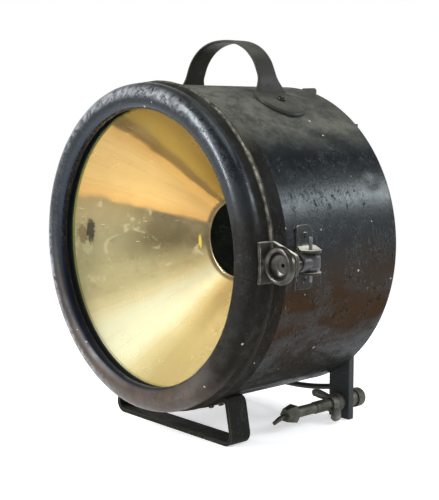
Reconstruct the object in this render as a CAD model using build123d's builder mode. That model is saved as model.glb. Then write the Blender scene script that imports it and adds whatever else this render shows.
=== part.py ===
from build123d import *
import os
from math import asin, cos, degrees, hypot, radians, sin, sqrt

# Follow spot: a round lamp house with a hinged glass door, a brass reflector and a focusing lamp.
# +X is the latch side, -Y is the front, +Z is up. The origin is under the front stirrup's foot.
# A depth is a distance behind the front face of the door.

# Whole lamp
AXIS_HEIGHT = 232.5
STIRRUP_SETBACK = 69.5
BODY_LENGTH = 250.0
DRUM_RADIUS = 198.2
DRUM_SHEET = 2.0
FIT = 0.08
PLAY = 0.5
SLIP = 0.1
DOME = 0.85
ROUNDING = 0.7
HEX = 6

# Door ring
DOOR_DEPTH = 38.0
BEAD_RADIUS = 200.0
LIP_RADIUS = 168.2
BEAD_OUTER_BEND = 15.0
BEAD_INNER_BEND = 12.0
LIP_BEND = 3.0
LEDGE_WIDTH = 10.0
DOOR_SHEET = 2.0
SKIRT_RADIUS = 198.2
SKIRT_START = 24.0
CREST_START = 28.5
CREST_RADIUS = 202.6
CREST_DEPTH = 31.6
CREST_END = 36.0
REAR_EDGE_RADIUS = 200.6
DOOR_GAP = 1.0

# Glass and its fittings
GASKET_THICKNESS = 1.5
GLASS_THICKNESS = 4.0
GLASS_RADIUS = 188.0
RETAINER_SHEET = 1.2
RETAINER_LIP = 8.0
RETAINER_INNER = 176.0
SEAL_WIDTH = 12.0
SEAL_THICKNESS = 2.3

# Seat ring and front band
SEAT_INNER = 171.5
SEAT_SHEET = 2.0
SPIGOT_CLEARANCE = 1.2
SEAT_TAIL = 22.0
BAND_WIDTH = 20.5
BAND_THICKNESS = 0.7

# Reflector
REFLECTOR_SHEET = 1.2
REFLECTOR_BRIM = 188.0
MIRROR_EDGE = 171.5
MIRROR_BULGE = 5.0
COLLAR_RADIUS = 52.5
COLLAR_DEPTH = 162.0
HOLE_RADIUS = 49.0
HOLE_DEPTH = 164.0
CLIP_COUNT = 6
CLIP_LENGTH = 24.0
CLIP_WIDTH = 11.0
CLIP_SHEET = 1.5
CLIP_SCREW_RADIUS = 1.5
CLIP_HEAD_RADIUS = 3.2
CLIP_HEAD_HEIGHT = 2.2

# Back plate and rear hatch
BACK_SHEET = 2.5
BACK_FLANGE = 18.0
VENT_COUNT = 3
VENT_LENGTH = 90.0
VENT_WIDTH = 9.0
VENT_PITCH = 22.0
VENT_TOP_DROP = 85.0
HATCH_WIDTH = 124.0
HATCH_OVERLAP = 8.0
HATCH_BOTTOM = 45.0
HATCH_TOP = 180.0
HATCH_SHEET = 2.0
HATCH_CORNER = 10.0
LOUVRE_COUNT = 4
LOUVRE_LENGTH = 70.0
LOUVRE_WIDTH = 5.0
LOUVRE_PITCH = 18.0
HATCH_HINGE_HEIGHT = 191.4
HATCH_HINGE_SETBACK = 6.0
HATCH_KNUCKLE_RADIUS = 4.8
HATCH_PIN_RADIUS = 1.6
HATCH_HINGE_CENTRE = 42.5
HATCH_KNUCKLE = 6.0
HATCH_LEAF_SHEET = 2.0
HATCH_LEAF_LENGTH = 26.0
HATCH_KNOB_RADIUS = 8.0
HATCH_KNOB_NECK = 4.8
HATCH_KNOB_EDGE = 2.0
HATCH_KNOB_HEIGHT = 14.0
HATCH_KNOB_INSET = 14.0

# Carrying handle
HANDLE_DEPTH = 154.0
HANDLE_RISE = 57.3
HANDLE_STRAP = 30.0
HANDLE_THICKNESS = 3.4
HANDLE_BEND = 87.5
HANDLE_KNEE = 30.0
FOOT_ANGLE = 62.6
FOOT_LANDING_ANGLE = 3.34
FOOT_RADIUS = 33.0
FOOT_THICKNESS = 4.6
HANDLE_RIVET_RADIUS = 5.0
HANDLE_RIVET_HEIGHT = 3.6
HANDLE_SHANK_RADIUS = 3.0

# Front stirrup
STIRRUP_WIDTH = 30.0
STIRRUP_THICKNESS = 5.0
STIRRUP_FOOT_HALF = 113.5
STIRRUP_TOP_HALF = 102.0
STIRRUP_BEND = 11.0
STIRRUP_TAB_ANGLE = 13.0
STIRRUP_TAB_BEND = 7.0
STIRRUP_TAB_RUN = 15.0
STIRRUP_RIVET_SPREAD = 8.0

# Rear legs, brace and clamp bolts
LEG_WIDTH = 35.0
LEG_THICKNESS = 9.6
LEG_EDGE = 0.8
LEG_CENTRE = 107.8
LEG_TOP = 150.0
LEG_BOLT_HEIGHT = 120.0
LEG_BOLT_RADIUS = 4.0
LEG_BOLT_HEAD = 8.0
LEG_BOLT_HEAD_HEIGHT = 5.0
LEG_NUT_FLATS = 13.0
LEG_NUT_HEIGHT = 6.5
BRACE_RADIUS = 3.8
BRACE_SAG = 10.0
BRACE_HEIGHT = 37.2
CLAMP_HEIGHT = 21.0
CLAMP_RADIUS = 7.9
CLAMP_THREAD_RADIUS = 7.0
CLAMP_HOLE_GAP = 0.3
CLAMP_SMOOTH = 47.0
CLAMP_THREAD = 53.0
CLAMP_HEAD_RADIUS = 12.5
CLAMP_HEAD_LENGTH = 15.5
CLAMP_HEAD_CROWN = 6.0
CLAMP_WASHER_RADIUS = 14.0
CLAMP_WASHER = 3.0
CLAMP_SPACER_RADIUS = 10.5
CLAMP_SPACER = 15.0
CONE_NUT_FLATS = 22.0
CONE_NUT_TIP_FLATS = 15.6
CONE_NUT_LENGTH = 15.5
TAIL_RADIUS = 2.9
TAIL_LENGTH = 21.0
TAIL_DROOP = 42.0
WING_HUB_RADIUS = 10.2
WING_HUB_LENGTH = 20.0
WING_SPAN = 26.5
WING_THICKNESS = 8.0
WING_TILT = 143.0
WING_EDGE = 3.0
WING_BEVEL = 1.0
WING_ROOT = 6.0
WING_WAIST = 12.0
WING_NECK = 24.5
WING_CROWN = 17.0
WING_EAR = 31.5
WING_EAR_INNER = 17.5
WING_EAR_OUTER = 24.8
WING_SINK = 2.5

# Door hinge
HINGE_OUT = 211.0
HINGE_DEPTH = 42.0
HINGE_KNUCKLE_RADIUS = 6.5
HINGE_PIN_RADIUS = 3.0
HINGE_MIDDLE = 22.0
HINGE_OUTER = 22.0
HINGE_LEAF_SHEET = 2.6
HINGE_LEAF_START = 61.0
HINGE_LEAF_LENGTH = 31.0
HINGE_LUG_START = 14.0
HINGE_LUG_THICKNESS = 4.5
HINGE_LUG_HALF = 24.0
HINGE_RIVET_SETBACK = 18.6
HINGE_RIVET_NEAR = 14.3
HINGE_RIVET_FAR = 27.5
HINGE_ARM_SETBACK = 12.4
HINGE_PIN_HEAD = 4.8
HINGE_RIVET_RADIUS = 3.6
HINGE_RIVET_HEIGHT = 2.2
HINGE_SHANK_RADIUS = 2.0

# Latch
LATCH_OUT = 229.0
LATCH_RISE = 2.6
LUG_FRONT = 31.0
LUG_THICKNESS = 4.0
LUG_MARGIN = 11.0
LUG_ROOT_HALF = 22.8
LUG_TIP_HALF = 10.5
LUG_BASE_START = 13.0
LUG_BASE_THICKNESS = 4.0
LUG_CORNER = 6.0
LATCH_PIN_DEPTH = 64.0
LATCH_PIN_RADIUS = 2.0
LATCH_PIN_UP = 28.0
LATCH_PIN_DOWN = 22.0
EAR_RADIUS = 12.0
EAR_THICKNESS = 2.5
EAR_GAP = 22.0
BRACKET_START = 75.0
BRACKET_LENGTH = 24.0
BRACKET_HALF = 36.5
BRACKET_SHEET = 2.5
NUT_RADIUS = 11.2
NUT_EDGE = 6.5
NUT_BARREL_RADIUS = 9.8
NUT_BARREL_EDGE = 2.2
NUT_CLEAR = 0.6
SCREW_BORE_GAP = 1.2
SCREW_RADIUS = 5.0
SCREW_TIP_GAP = 3.5
KNOB_RADIUS = 21.0
KNOB_FACE = 12.5
KNOB_RIM = 3.4
KNOB_DISH = 9.0
KNOB_BOWL_OUT = 12.4
KNOB_BOWL_DROP = 7.0
KNOB_HUB_RADIUS = 9.0
KNOB_HOLE_RADIUS = 2.4
KNOB_HOLE_DEPTH = 5.0
KNOB_SIDE = 3.0
COLLAR_OUTER = 7.6
COLLAR_LENGTH = 8.5
SPLIT_PIN_SETBACK = 5.0
SPLIT_PIN_RADIUS = 1.0
SPLIT_PIN_REACH = 29.2

# Focusing lamp
BUSH_FLANGE_RADIUS = 30.0
BUSH_FLANGE = 4.0
BUSH_RADIUS = 19.0
BUSH_LENGTH = 26.0
BUSH_SCREW_CIRCLE = 25.0
BUSH_SCREW_RADIUS = 2.0
BUSH_SCREW_HEAD = 3.6
BUSH_SCREW_HEIGHT = 2.2
TUBE_RADIUS = 12.0
TUBE_WALL = 1.5
FOCUS_TRAVEL = 45.0
HOLDER_RADIUS = 20.0
HOLDER_LENGTH = 30.0
HOLDER_BACK_GAP = 3.5
HOLDER_WALL = 4.0
HOLDER_BEVEL = 1.0
CAP_RADIUS = 13.0
CAP_LENGTH = 20.0
CAP_SHOW = 4.0
BULB_RADIUS = 19.0
BULB_TIP_DEPTH = 168.0
BULB_NECK = 10.5
BULB_SINK = 4.0
END_CAP_RADIUS = 15.0
END_CAP_LENGTH = 8.0
GLAND_FLATS = 17.0
GLAND_LENGTH = 10.0
GLAND_HEX_LENGTH = 4.0
GLAND_BORE = 4.5
GLAND_NOSE_RADIUS = 7.0
GLAND_BEVEL = 1.2
FOCUS_SCREW_RADIUS = 3.0
FOCUS_SCREW_SETBACK = 14.0
FOCUS_KNOB_RADIUS = 9.0
FOCUS_KNOB_LENGTH = 11.0
FOCUS_KNOB_GAP = 3.0
FOCUS_TIP_GAP = 0.3
FOCUS_FLUTES = 12
FLUTE_RADIUS = 1.0


def station(depth):
    """The row's Y at a depth behind the door's front face."""
    return depth - STIRRUP_SETBACK


turning_plane = Plane(origin=(0, station(0), AXIS_HEIGHT))
drum_axis = Axis((0, 0, AXIS_HEIGHT), (0, 1, 0))


def facing_front(depth, x=0.0, z=AXIS_HEIGHT):
    """A plane across the lamp, with X to the right, Z up and its normal to the front."""
    return Plane(origin=(x, station(depth), z), x_dir=(1, 0, 0), z_dir=(0, -1, 0))


def level(height):
    """A level plane at a height over the drum's axis, with its Y counted from the door's face."""
    return Plane(origin=(0, station(0), AXIS_HEIGHT + height))


def radial(angle, depth, radius):
    """A plane that touches a cylinder about the drum's axis, with its normal pointing out."""
    out = (cos(radians(angle)), 0, sin(radians(angle)))
    origin = (radius * out[0], station(depth), AXIS_HEIGHT + radius * out[2])
    return Plane(origin=origin, x_dir=(0, 1, 0), z_dir=out)


def section(inner, outer, front, back):
    """A rectangle in the turning plane, from its radii and depths."""
    with Locations(((inner + outer) / 2, (front + back) / 2)):
        Rectangle(outer - inner, back - front)


def turned_ring(inner, outer, front, back):
    """A plain ring about the drum's axis."""
    with BuildPart() as ring:
        with BuildSketch(turning_plane):
            section(inner, outer, front, back)
        revolve(axis=drum_axis)
    return ring.part


def button(head_radius, head_height, shank_radius, shank_length):
    """A rivet or screw along Z, with a domed head above Z = 0 and its shank below."""
    with BuildPart() as piece:
        with BuildSketch(Plane.XZ) as profile:
            with Locations((head_radius / 2, head_height / 2)):
                Rectangle(head_radius, head_height)
            crown = profile.vertices().sort_by(Axis.Y)[-2:].sort_by(Axis.X)[-1]
            fillet(crown, min(head_radius, head_height) * DOME)
            with Locations((shank_radius / 2, -shank_length / 2)):
                Rectangle(shank_radius, shank_length)
        revolve(axis=Axis.Z)
    return piece.part


def outer_skin():
    """The door ring's visible side, from the glass ledge round the bead to the rear edge."""
    lip_turn = (LIP_RADIUS + LIP_BEND, BEAD_INNER_BEND)
    inner_turn = (LIP_RADIUS + BEAD_INNER_BEND, BEAD_INNER_BEND)
    outer_turn = (BEAD_RADIUS - BEAD_OUTER_BEND, BEAD_OUTER_BEND)
    ledge = BEAD_INNER_BEND + LIP_BEND
    Line((LIP_RADIUS + LEDGE_WIDTH, ledge), (lip_turn[0], ledge))
    CenterArc(lip_turn, LIP_BEND, 90, 90)
    CenterArc(inner_turn, BEAD_INNER_BEND, 180, 90)
    Line((inner_turn[0], 0), (outer_turn[0], 0))
    CenterArc(outer_turn, BEAD_OUTER_BEND, 270, 90)
    Line((BEAD_RADIUS, BEAD_OUTER_BEND), (SKIRT_RADIUS, SKIRT_START))
    Line((SKIRT_RADIUS, SKIRT_START), (SKIRT_RADIUS, CREST_START))
    ThreePointArc((SKIRT_RADIUS, CREST_START), (CREST_RADIUS, CREST_DEPTH), (REAR_EDGE_RADIUS, CREST_END))
    Line((REAR_EDGE_RADIUS, CREST_END), (REAR_EDGE_RADIUS, DOOR_DEPTH))


GLASS_FRONT = BEAD_INNER_BEND + LIP_BEND + GASKET_THICKNESS
GLASS_BACK = GLASS_FRONT + GLASS_THICKNESS
SEAL_FRONT = GLASS_BACK + RETAINER_SHEET
SEAT_FACE = SEAL_FRONT + SEAL_THICKNESS
SPIGOT_RADIUS = SKIRT_RADIUS - DOOR_SHEET - SPIGOT_CLEARANCE
DRUM_FRONT = DOOR_DEPTH + DOOR_GAP
DRUM_BORE = DRUM_RADIUS - DRUM_SHEET
BRIM_DEPTH = SEAT_FACE + SEAT_SHEET
LATCH_HEIGHT = AXIS_HEIGHT + LATCH_RISE

os.makedirs("parts", exist_ok=True)

# The room that the closed door and the drum take up, for pieces that are seated on them
with BuildPart() as door_room:
    with BuildSketch(turning_plane):
        with BuildLine():
            outer_skin()
            ledge_end = (LIP_RADIUS + LEDGE_WIDTH, BEAD_INNER_BEND + LIP_BEND)
            Polyline((REAR_EDGE_RADIUS, DOOR_DEPTH), (LIP_RADIUS + LEDGE_WIDTH, DOOR_DEPTH), ledge_end)
        make_face()
    revolve(axis=drum_axis)

with BuildPart() as drum_room:
    with BuildSketch(turning_plane):
        section(0, DRUM_RADIUS, DRUM_FRONT, BODY_LENGTH)
        section(0, DRUM_RADIUS + BAND_THICKNESS, DRUM_FRONT, DRUM_FRONT + BAND_WIDTH)
    revolve(axis=drum_axis)

# The door

with BuildPart() as door_ring:
    with BuildSketch(turning_plane):
        with BuildLine():
            outer_skin()
            offset(amount=DOOR_SHEET, side=Side.LEFT)
        make_face()
    revolve(axis=drum_axis)
door_ring.part.label = "door_ring"
export_step(door_ring.part, "parts/door_ring.step")

with BuildPart() as glass_gasket:
    gasket_front = GLASS_FRONT - GASKET_THICKNESS
    add(turned_ring(LIP_RADIUS + LIP_BEND, LIP_RADIUS + LEDGE_WIDTH, gasket_front, GLASS_FRONT))
glass_gasket.part.label = "glass_gasket"
export_step(glass_gasket.part, "parts/glass_gasket.step")

with BuildPart() as front_glass:
    with BuildSketch(facing_front(GLASS_BACK)):
        Circle(GLASS_RADIUS)
    extrude(amount=GLASS_THICKNESS)
front_glass.part.label = "front_glass"
export_step(front_glass.part, "parts/front_glass.step")

with BuildPart() as glass_retainer:
    with BuildSketch(turning_plane):
        retainer_outer = SKIRT_RADIUS - DOOR_SHEET - SLIP
        section(RETAINER_INNER, retainer_outer, GLASS_BACK, SEAL_FRONT)
        section(retainer_outer - RETAINER_SHEET, retainer_outer, GLASS_BACK - RETAINER_LIP, SEAL_FRONT)
    revolve(axis=drum_axis)
glass_retainer.part.label = "glass_retainer"
export_step(glass_retainer.part, "parts/glass_retainer.step")

with BuildPart() as door_seal:
    add(turned_ring(SPIGOT_RADIUS - SEAL_WIDTH, SPIGOT_RADIUS, SEAL_FRONT, SEAT_FACE))
door_seal.part.label = "door_seal"
export_step(door_seal.part, "parts/door_seal.step")

# Where rivets pass through the drum

foot_top = DRUM_RADIUS + FOOT_THICKNESS
handle_rivet_planes = [radial(angle, HANDLE_DEPTH, foot_top) for angle in (FOOT_ANGLE, 180 - FOOT_ANGLE)]

tab_radius = DRUM_RADIUS + STIRRUP_THICKNESS
tab_middle = DRUM_RADIUS + STIRRUP_THICKNESS / 2
tab_start = degrees(asin(STIRRUP_TOP_HALF / tab_middle) - STIRRUP_TAB_RUN / tab_middle)
tab_angles = [270 + side * (tab_start - STIRRUP_TAB_ANGLE / 2) for side in (-1, 1)]
stirrup_depths = (STIRRUP_SETBACK - STIRRUP_RIVET_SPREAD, STIRRUP_SETBACK + STIRRUP_RIVET_SPREAD)
stirrup_rivet_planes = [radial(angle, depth, tab_radius) for angle in tab_angles for depth in stirrup_depths]

leaf_top = DRUM_RADIUS + HINGE_LEAF_SHEET
hinge_rivet_depth = HINGE_LEAF_START + HINGE_RIVET_SETBACK
hinge_rivet_heights = [side * height for side in (-1, 1) for height in (HINGE_RIVET_NEAR, HINGE_RIVET_FAR)]
hinge_rivet_angles = [180 - degrees(asin(height / DRUM_RADIUS)) for height in hinge_rivet_heights]
hinge_rivet_planes = [radial(angle, hinge_rivet_depth, leaf_top) for angle in hinge_rivet_angles]

bracket_top = DRUM_RADIUS + BRACKET_SHEET
bracket_rivet_depth = BRACKET_START + BRACKET_LENGTH / 2
bracket_rivet_height = (BRACKET_HALF + EAR_GAP / 2 + EAR_THICKNESS) / 2
bracket_rivet_heights = [side * bracket_rivet_height + LATCH_RISE for side in (-1, 1)]
bracket_rivet_angles = [degrees(asin(height / DRUM_RADIUS)) for height in bracket_rivet_heights]
bracket_rivet_planes = [radial(angle, bracket_rivet_depth, bracket_top) for angle in bracket_rivet_angles]


def shanks(planes, radius, length):
    """Plain round shanks that reach inwards from each plane."""
    with BuildPart() as rods:
        for plane in planes:
            with BuildSketch(plane):
                Circle(radius)
            extrude(amount=-length)
    return rods.part


def rivets(planes, head_radius, head_height, shank_radius, shank_length):
    """Domed rivets on each plane, as separate solids."""
    pattern = button(head_radius, head_height, shank_radius, shank_length)
    with BuildPart() as group:
        with Locations(*planes):
            add(pattern)
    return group.part


small_head = (HINGE_RIVET_RADIUS, HINGE_RIVET_HEIGHT)
handle_grip = FOOT_THICKNESS + DRUM_SHEET
stirrup_grip = STIRRUP_THICKNESS + DRUM_SHEET
hinge_grip = HINGE_LEAF_SHEET + DRUM_SHEET
bracket_grip = BRACKET_SHEET + DRUM_SHEET
handle_holes = shanks(handle_rivet_planes, HANDLE_SHANK_RADIUS, handle_grip + DRUM_SHEET)
stirrup_holes = shanks(stirrup_rivet_planes, HINGE_SHANK_RADIUS, stirrup_grip + DRUM_SHEET)
hinge_holes = shanks(hinge_rivet_planes, HINGE_SHANK_RADIUS, hinge_grip + DRUM_SHEET)
bracket_holes = shanks(bracket_rivet_planes, HINGE_SHANK_RADIUS, bracket_grip + DRUM_SHEET)

# The drum and what lines its mouth

with BuildPart() as drum_shell:
    with BuildSketch(turning_plane):
        section(DRUM_BORE, DRUM_RADIUS, DRUM_FRONT, BODY_LENGTH)
    revolve(axis=drum_axis)
    for holes in (handle_holes, stirrup_holes, hinge_holes, bracket_holes):
        add(holes, mode=Mode.SUBTRACT)
drum_shell.part.label = "drum_shell"
export_step(drum_shell.part, "parts/drum_shell.step")

clip_reach = sqrt((SPIGOT_RADIUS - SEAT_SHEET - SLIP) ** 2 - (CLIP_LENGTH / 2) ** 2)
clip_spots = PolarLocations(clip_reach - CLIP_WIDTH / 2, CLIP_COUNT)
clip_screw_radius = SPIGOT_RADIUS - SEAT_SHEET - CLIP_HEAD_RADIUS - 2 * SLIP

with BuildPart() as seat_ring:
    with BuildSketch(turning_plane):
        seat_bend = DRUM_FRONT
        tail_outer = DRUM_BORE - SLIP
        section(SEAT_INNER, SPIGOT_RADIUS, SEAT_FACE, SEAT_FACE + SEAT_SHEET)
        section(SPIGOT_RADIUS - SEAT_SHEET, SPIGOT_RADIUS, SEAT_FACE, seat_bend + SEAT_SHEET)
        section(SPIGOT_RADIUS - SEAT_SHEET, tail_outer, seat_bend, seat_bend + SEAT_SHEET)
        section(tail_outer - SEAT_SHEET, tail_outer, seat_bend, seat_bend + SEAT_TAIL)
    revolve(axis=drum_axis)
    with BuildSketch(facing_front(SEAT_FACE)):
        with PolarLocations(clip_screw_radius, CLIP_COUNT):
            Circle(CLIP_SCREW_RADIUS)
    extrude(amount=-SEAT_SHEET, mode=Mode.SUBTRACT)
seat_ring.part.label = "seat_ring"
export_step(seat_ring.part, "parts/seat_ring.step")

with BuildPart() as reflector:
    with BuildSketch(turning_plane):
        with BuildLine():
            rim = (MIRROR_EDGE, BRIM_DEPTH)
            collar = (COLLAR_RADIUS, COLLAR_DEPTH)
            run = (rim[0] - collar[0], collar[1] - rim[1])
            chord = hypot(run[0], run[1])
            belly_x = (rim[0] + collar[0]) / 2 + MIRROR_BULGE * run[1] / chord
            belly_y = (rim[1] + collar[1]) / 2 + MIRROR_BULGE * run[0] / chord
            Line((REFLECTOR_BRIM, BRIM_DEPTH), rim)
            ThreePointArc(rim, (belly_x, belly_y), collar)
            Line(collar, (HOLE_RADIUS, HOLE_DEPTH))
            offset(amount=REFLECTOR_SHEET, side=Side.RIGHT)
        make_face()
    revolve(axis=drum_axis)
reflector.part.label = "reflector"
export_step(reflector.part, "parts/reflector.step")

clip_front = BRIM_DEPTH + REFLECTOR_SHEET
with BuildPart() as reflector_clips:
    with BuildSketch(facing_front(clip_front + CLIP_SHEET)):
        with clip_spots:
            Rectangle(CLIP_WIDTH, CLIP_LENGTH)
        with PolarLocations(clip_screw_radius, CLIP_COUNT):
            Circle(CLIP_SCREW_RADIUS, mode=Mode.SUBTRACT)
    extrude(amount=CLIP_SHEET)
reflector_clips.part.label = "reflector_clips"
export_step(reflector_clips.part, "parts/reflector_clips.step")

clip_grip = CLIP_SHEET + REFLECTOR_SHEET + SEAT_SHEET
clip_screw = button(CLIP_HEAD_RADIUS, CLIP_HEAD_HEIGHT, CLIP_SCREW_RADIUS, clip_grip)
clip_back = station(clip_front + CLIP_SHEET)
clip_screw_plane = Plane(origin=(0, clip_back, AXIS_HEIGHT), x_dir=(1, 0, 0), z_dir=(0, 1, 0))
with BuildPart() as clip_screws:
    with Locations(clip_screw_plane):
        with PolarLocations(clip_screw_radius, CLIP_COUNT):
            add(clip_screw)
clip_screws.part.label = "clip_screws"
export_step(clip_screws.part, "parts/clip_screws.step")

# The back of the drum

leg_bolt_spots = [(side * LEG_CENTRE, rise * LEG_BOLT_HEIGHT) for side in (-1, 1) for rise in (-1, 1)]
bush_corner = BUSH_SCREW_CIRCLE / sqrt(2)
bush_screw_spots = [(side * bush_corner, rise * bush_corner) for side in (-1, 1) for rise in (-1, 1)]
hatch_middle = (HATCH_BOTTOM + HATCH_TOP) / 2
hatch_height = HATCH_TOP - HATCH_BOTTOM

with BuildPart() as back_plate:
    with BuildSketch(facing_front(BODY_LENGTH)):
        Circle(DRUM_BORE - SLIP)
        Circle(BUSH_RADIUS + SLIP, mode=Mode.SUBTRACT)
        with Locations((0, hatch_middle)):
            hatch_hole = (HATCH_WIDTH - 2 * HATCH_OVERLAP, hatch_height - 2 * HATCH_OVERLAP)
            RectangleRounded(*hatch_hole, HATCH_CORNER, mode=Mode.SUBTRACT)
        with Locations((0, -VENT_TOP_DROP)):
            with GridLocations(0, VENT_PITCH, 1, VENT_COUNT):
                SlotOverall(VENT_LENGTH, VENT_WIDTH, mode=Mode.SUBTRACT)
        with Locations(*leg_bolt_spots):
            Circle(LEG_BOLT_RADIUS, mode=Mode.SUBTRACT)
        with Locations(*bush_screw_spots):
            Circle(BUSH_SCREW_RADIUS, mode=Mode.SUBTRACT)
    extrude(amount=BACK_SHEET)
    with BuildSketch(turning_plane):
        flange_outer = DRUM_BORE - SLIP
        section(flange_outer - BACK_SHEET, flange_outer, BODY_LENGTH - BACK_FLANGE, BODY_LENGTH - BACK_SHEET)
    revolve(axis=drum_axis)
back_plate.part.label = "back_plate"
export_step(back_plate.part, "parts/back_plate.step")

hatch_hinge_depth = BODY_LENGTH + HATCH_HINGE_SETBACK
hatch_back = BODY_LENGTH + HATCH_SHEET
knuckle_pitch = HATCH_KNUCKLE + PLAY


def hatch_knuckles(places, lower, upper, back):
    """Hinge leaves on the back, each a knuckle round the pin and a flat flap between two heights."""
    with BuildPart() as leaves:
        for place in places:
            with BuildSketch(Plane.YZ.offset(place - HATCH_KNUCKLE / 2)):
                with Locations((station(hatch_hinge_depth), AXIS_HEIGHT + HATCH_HINGE_HEIGHT)):
                    Circle(HATCH_KNUCKLE_RADIUS)
                with Locations((station(back + HATCH_LEAF_SHEET / 2), AXIS_HEIGHT + (lower + upper) / 2)):
                    Rectangle(HATCH_LEAF_SHEET, upper - lower)
                with Locations((station(hatch_hinge_depth), AXIS_HEIGHT + HATCH_HINGE_HEIGHT)):
                    Circle(HATCH_PIN_RADIUS + FIT, mode=Mode.SUBTRACT)
            extrude(amount=HATCH_KNUCKLE)
    return leaves.part


hatch_sides = (-HATCH_HINGE_CENTRE, HATCH_HINGE_CENTRE)
fixed_places = [side + step * knuckle_pitch for side in hatch_sides for step in (-1, 1)]
leaf_foot = HATCH_HINGE_HEIGHT - HATCH_LEAF_LENGTH

with BuildPart() as hatch_brackets:
    add(hatch_knuckles(fixed_places, HATCH_TOP + PLAY, HATCH_HINGE_HEIGHT, BODY_LENGTH))
hatch_brackets.part.label = "hatch_brackets"
export_step(hatch_brackets.part, "parts/hatch_brackets.step")

with BuildPart() as hatch_leaves:
    add(hatch_knuckles(hatch_sides, leaf_foot, HATCH_HINGE_HEIGHT, hatch_back))
hatch_leaves.part.label = "hatch_leaves"
export_step(hatch_leaves.part, "parts/hatch_leaves.step")

with BuildPart() as hatch_pins:
    for side in hatch_sides:
        with BuildSketch(Plane.YZ.offset(side - HATCH_KNUCKLE * 1.5 - PLAY)):
            with Locations((station(hatch_hinge_depth), AXIS_HEIGHT + HATCH_HINGE_HEIGHT)):
                Circle(HATCH_PIN_RADIUS)
        extrude(amount=HATCH_KNUCKLE * 3 + PLAY * 2)
hatch_pins.part.label = "hatch_pins"
export_step(hatch_pins.part, "parts/hatch_pins.step")

with BuildPart() as hatch_plate:
    with BuildSketch(facing_front(hatch_back)):
        with Locations((0, hatch_middle)):
            RectangleRounded(HATCH_WIDTH, hatch_height, HATCH_CORNER)
            with GridLocations(0, LOUVRE_PITCH, 1, LOUVRE_COUNT):
                SlotOverall(LOUVRE_LENGTH, LOUVRE_WIDTH, mode=Mode.SUBTRACT)
    extrude(amount=HATCH_SHEET)
hatch_plate.part.label = "hatch_plate"
export_step(hatch_plate.part, "parts/hatch_plate.step")

with BuildPart() as hatch_knob:
    knob_plane = facing_front(hatch_back, z=AXIS_HEIGHT + HATCH_BOTTOM + HATCH_KNOB_INSET)
    with BuildSketch(knob_plane):
        Circle(HATCH_KNOB_NECK)
    extrude(amount=-HATCH_KNOB_HEIGHT / 2)
    with BuildSketch(knob_plane.offset(-HATCH_KNOB_HEIGHT / 2)):
        Circle(HATCH_KNOB_RADIUS)
    extrude(amount=-HATCH_KNOB_HEIGHT / 2)
    knob_rims = hatch_knob.edges().filter_by(GeomType.CIRCLE)
    fillet([rim for rim in knob_rims if rim.radius > HATCH_KNOB_NECK], HATCH_KNOB_EDGE)
hatch_knob.part.label = "hatch_knob"
export_step(hatch_knob.part, "parts/hatch_knob.step")

# The carrying handle

handle_centre = DRUM_RADIUS + HANDLE_RISE - HANDLE_BEND
strap_middle = HANDLE_BEND - HANDLE_THICKNESS / 2

with BuildPart() as handle_feet:
    for plane in handle_rivet_planes:
        with BuildSketch(plane.offset(FOOT_THICKNESS)):
            Circle(FOOT_RADIUS)
        extrude(amount=-FOOT_RADIUS)
    with BuildSketch(turning_plane):
        section(DRUM_RADIUS, foot_top, 0, BODY_LENGTH)
    revolve(axis=drum_axis, mode=Mode.INTERSECT)

with BuildPart() as handle:
    with BuildSketch(facing_front(HANDLE_DEPTH + HANDLE_STRAP / 2)):
        with BuildLine():
            knee = radians(HANDLE_KNEE)
            land = radians(FOOT_ANGLE + FOOT_LANDING_ANGLE)
            land_radius = foot_top - HANDLE_THICKNESS / 2
            CenterArc((0, handle_centre), strap_middle, HANDLE_KNEE, 180 - 2 * HANDLE_KNEE)
            for side in (1, -1):
                leave = (side * strap_middle * cos(knee), handle_centre + strap_middle * sin(knee))
                leave_way = (side * sin(knee), -cos(knee))
                arrive = (side * land_radius * cos(land), land_radius * sin(land))
                arrive_way = (side * sin(land), -cos(land))
                Spline(leave, arrive, tangents=(leave_way, arrive_way))
        trace(line_width=HANDLE_THICKNESS)
    extrude(amount=HANDLE_STRAP)
    add(drum_room.part, mode=Mode.SUBTRACT)
    add(handle_feet.part)
    add(handle_holes, mode=Mode.SUBTRACT)
handle.part.label = "handle"
export_step(handle.part, "parts/handle.step")

with BuildPart() as handle_rivets:
    handle_head = (HANDLE_RIVET_RADIUS, HANDLE_RIVET_HEIGHT)
    add(rivets(handle_rivet_planes, *handle_head, HANDLE_SHANK_RADIUS, handle_grip))
handle_rivets.part.label = "handle_rivets"
export_step(handle_rivets.part, "parts/handle_rivets.step")

# The front stirrup

with BuildPart() as front_stirrup:
    with BuildSketch(facing_front(STIRRUP_SETBACK + STIRRUP_WIDTH / 2)):
        with BuildLine() as stirrup_line:
            foot_line = STIRRUP_THICKNESS / 2 - AXIS_HEIGHT
            root_drop = sqrt(tab_middle ** 2 - STIRRUP_TOP_HALF ** 2)
            tab_span = STIRRUP_TAB_ANGLE + degrees(STIRRUP_TAB_RUN / tab_middle)
            root_angle = degrees(asin(STIRRUP_TOP_HALF / tab_middle))
            CenterArc((0, 0), tab_middle, 270 - root_angle, tab_span)
            left = [(-STIRRUP_TOP_HALF, -root_drop), (-STIRRUP_FOOT_HALF, foot_line)]
            right = [(STIRRUP_FOOT_HALF, foot_line), (STIRRUP_TOP_HALF, -root_drop)]
            Polyline(*left, *right)
            CenterArc((0, 0), tab_middle, 270 + root_angle, -tab_span)
            corners = stirrup_line.vertices().group_by(Axis.Y)
            fillet(corners[0], STIRRUP_BEND)
            roots = stirrup_line.vertices().filter_by(lambda v: abs(v.Y + root_drop) < SLIP)
            fillet(roots, STIRRUP_TAB_BEND)
        trace(line_width=STIRRUP_THICKNESS)
    extrude(amount=STIRRUP_WIDTH)
    add(stirrup_holes, mode=Mode.SUBTRACT)
front_stirrup.part.label = "front_stirrup"
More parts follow.
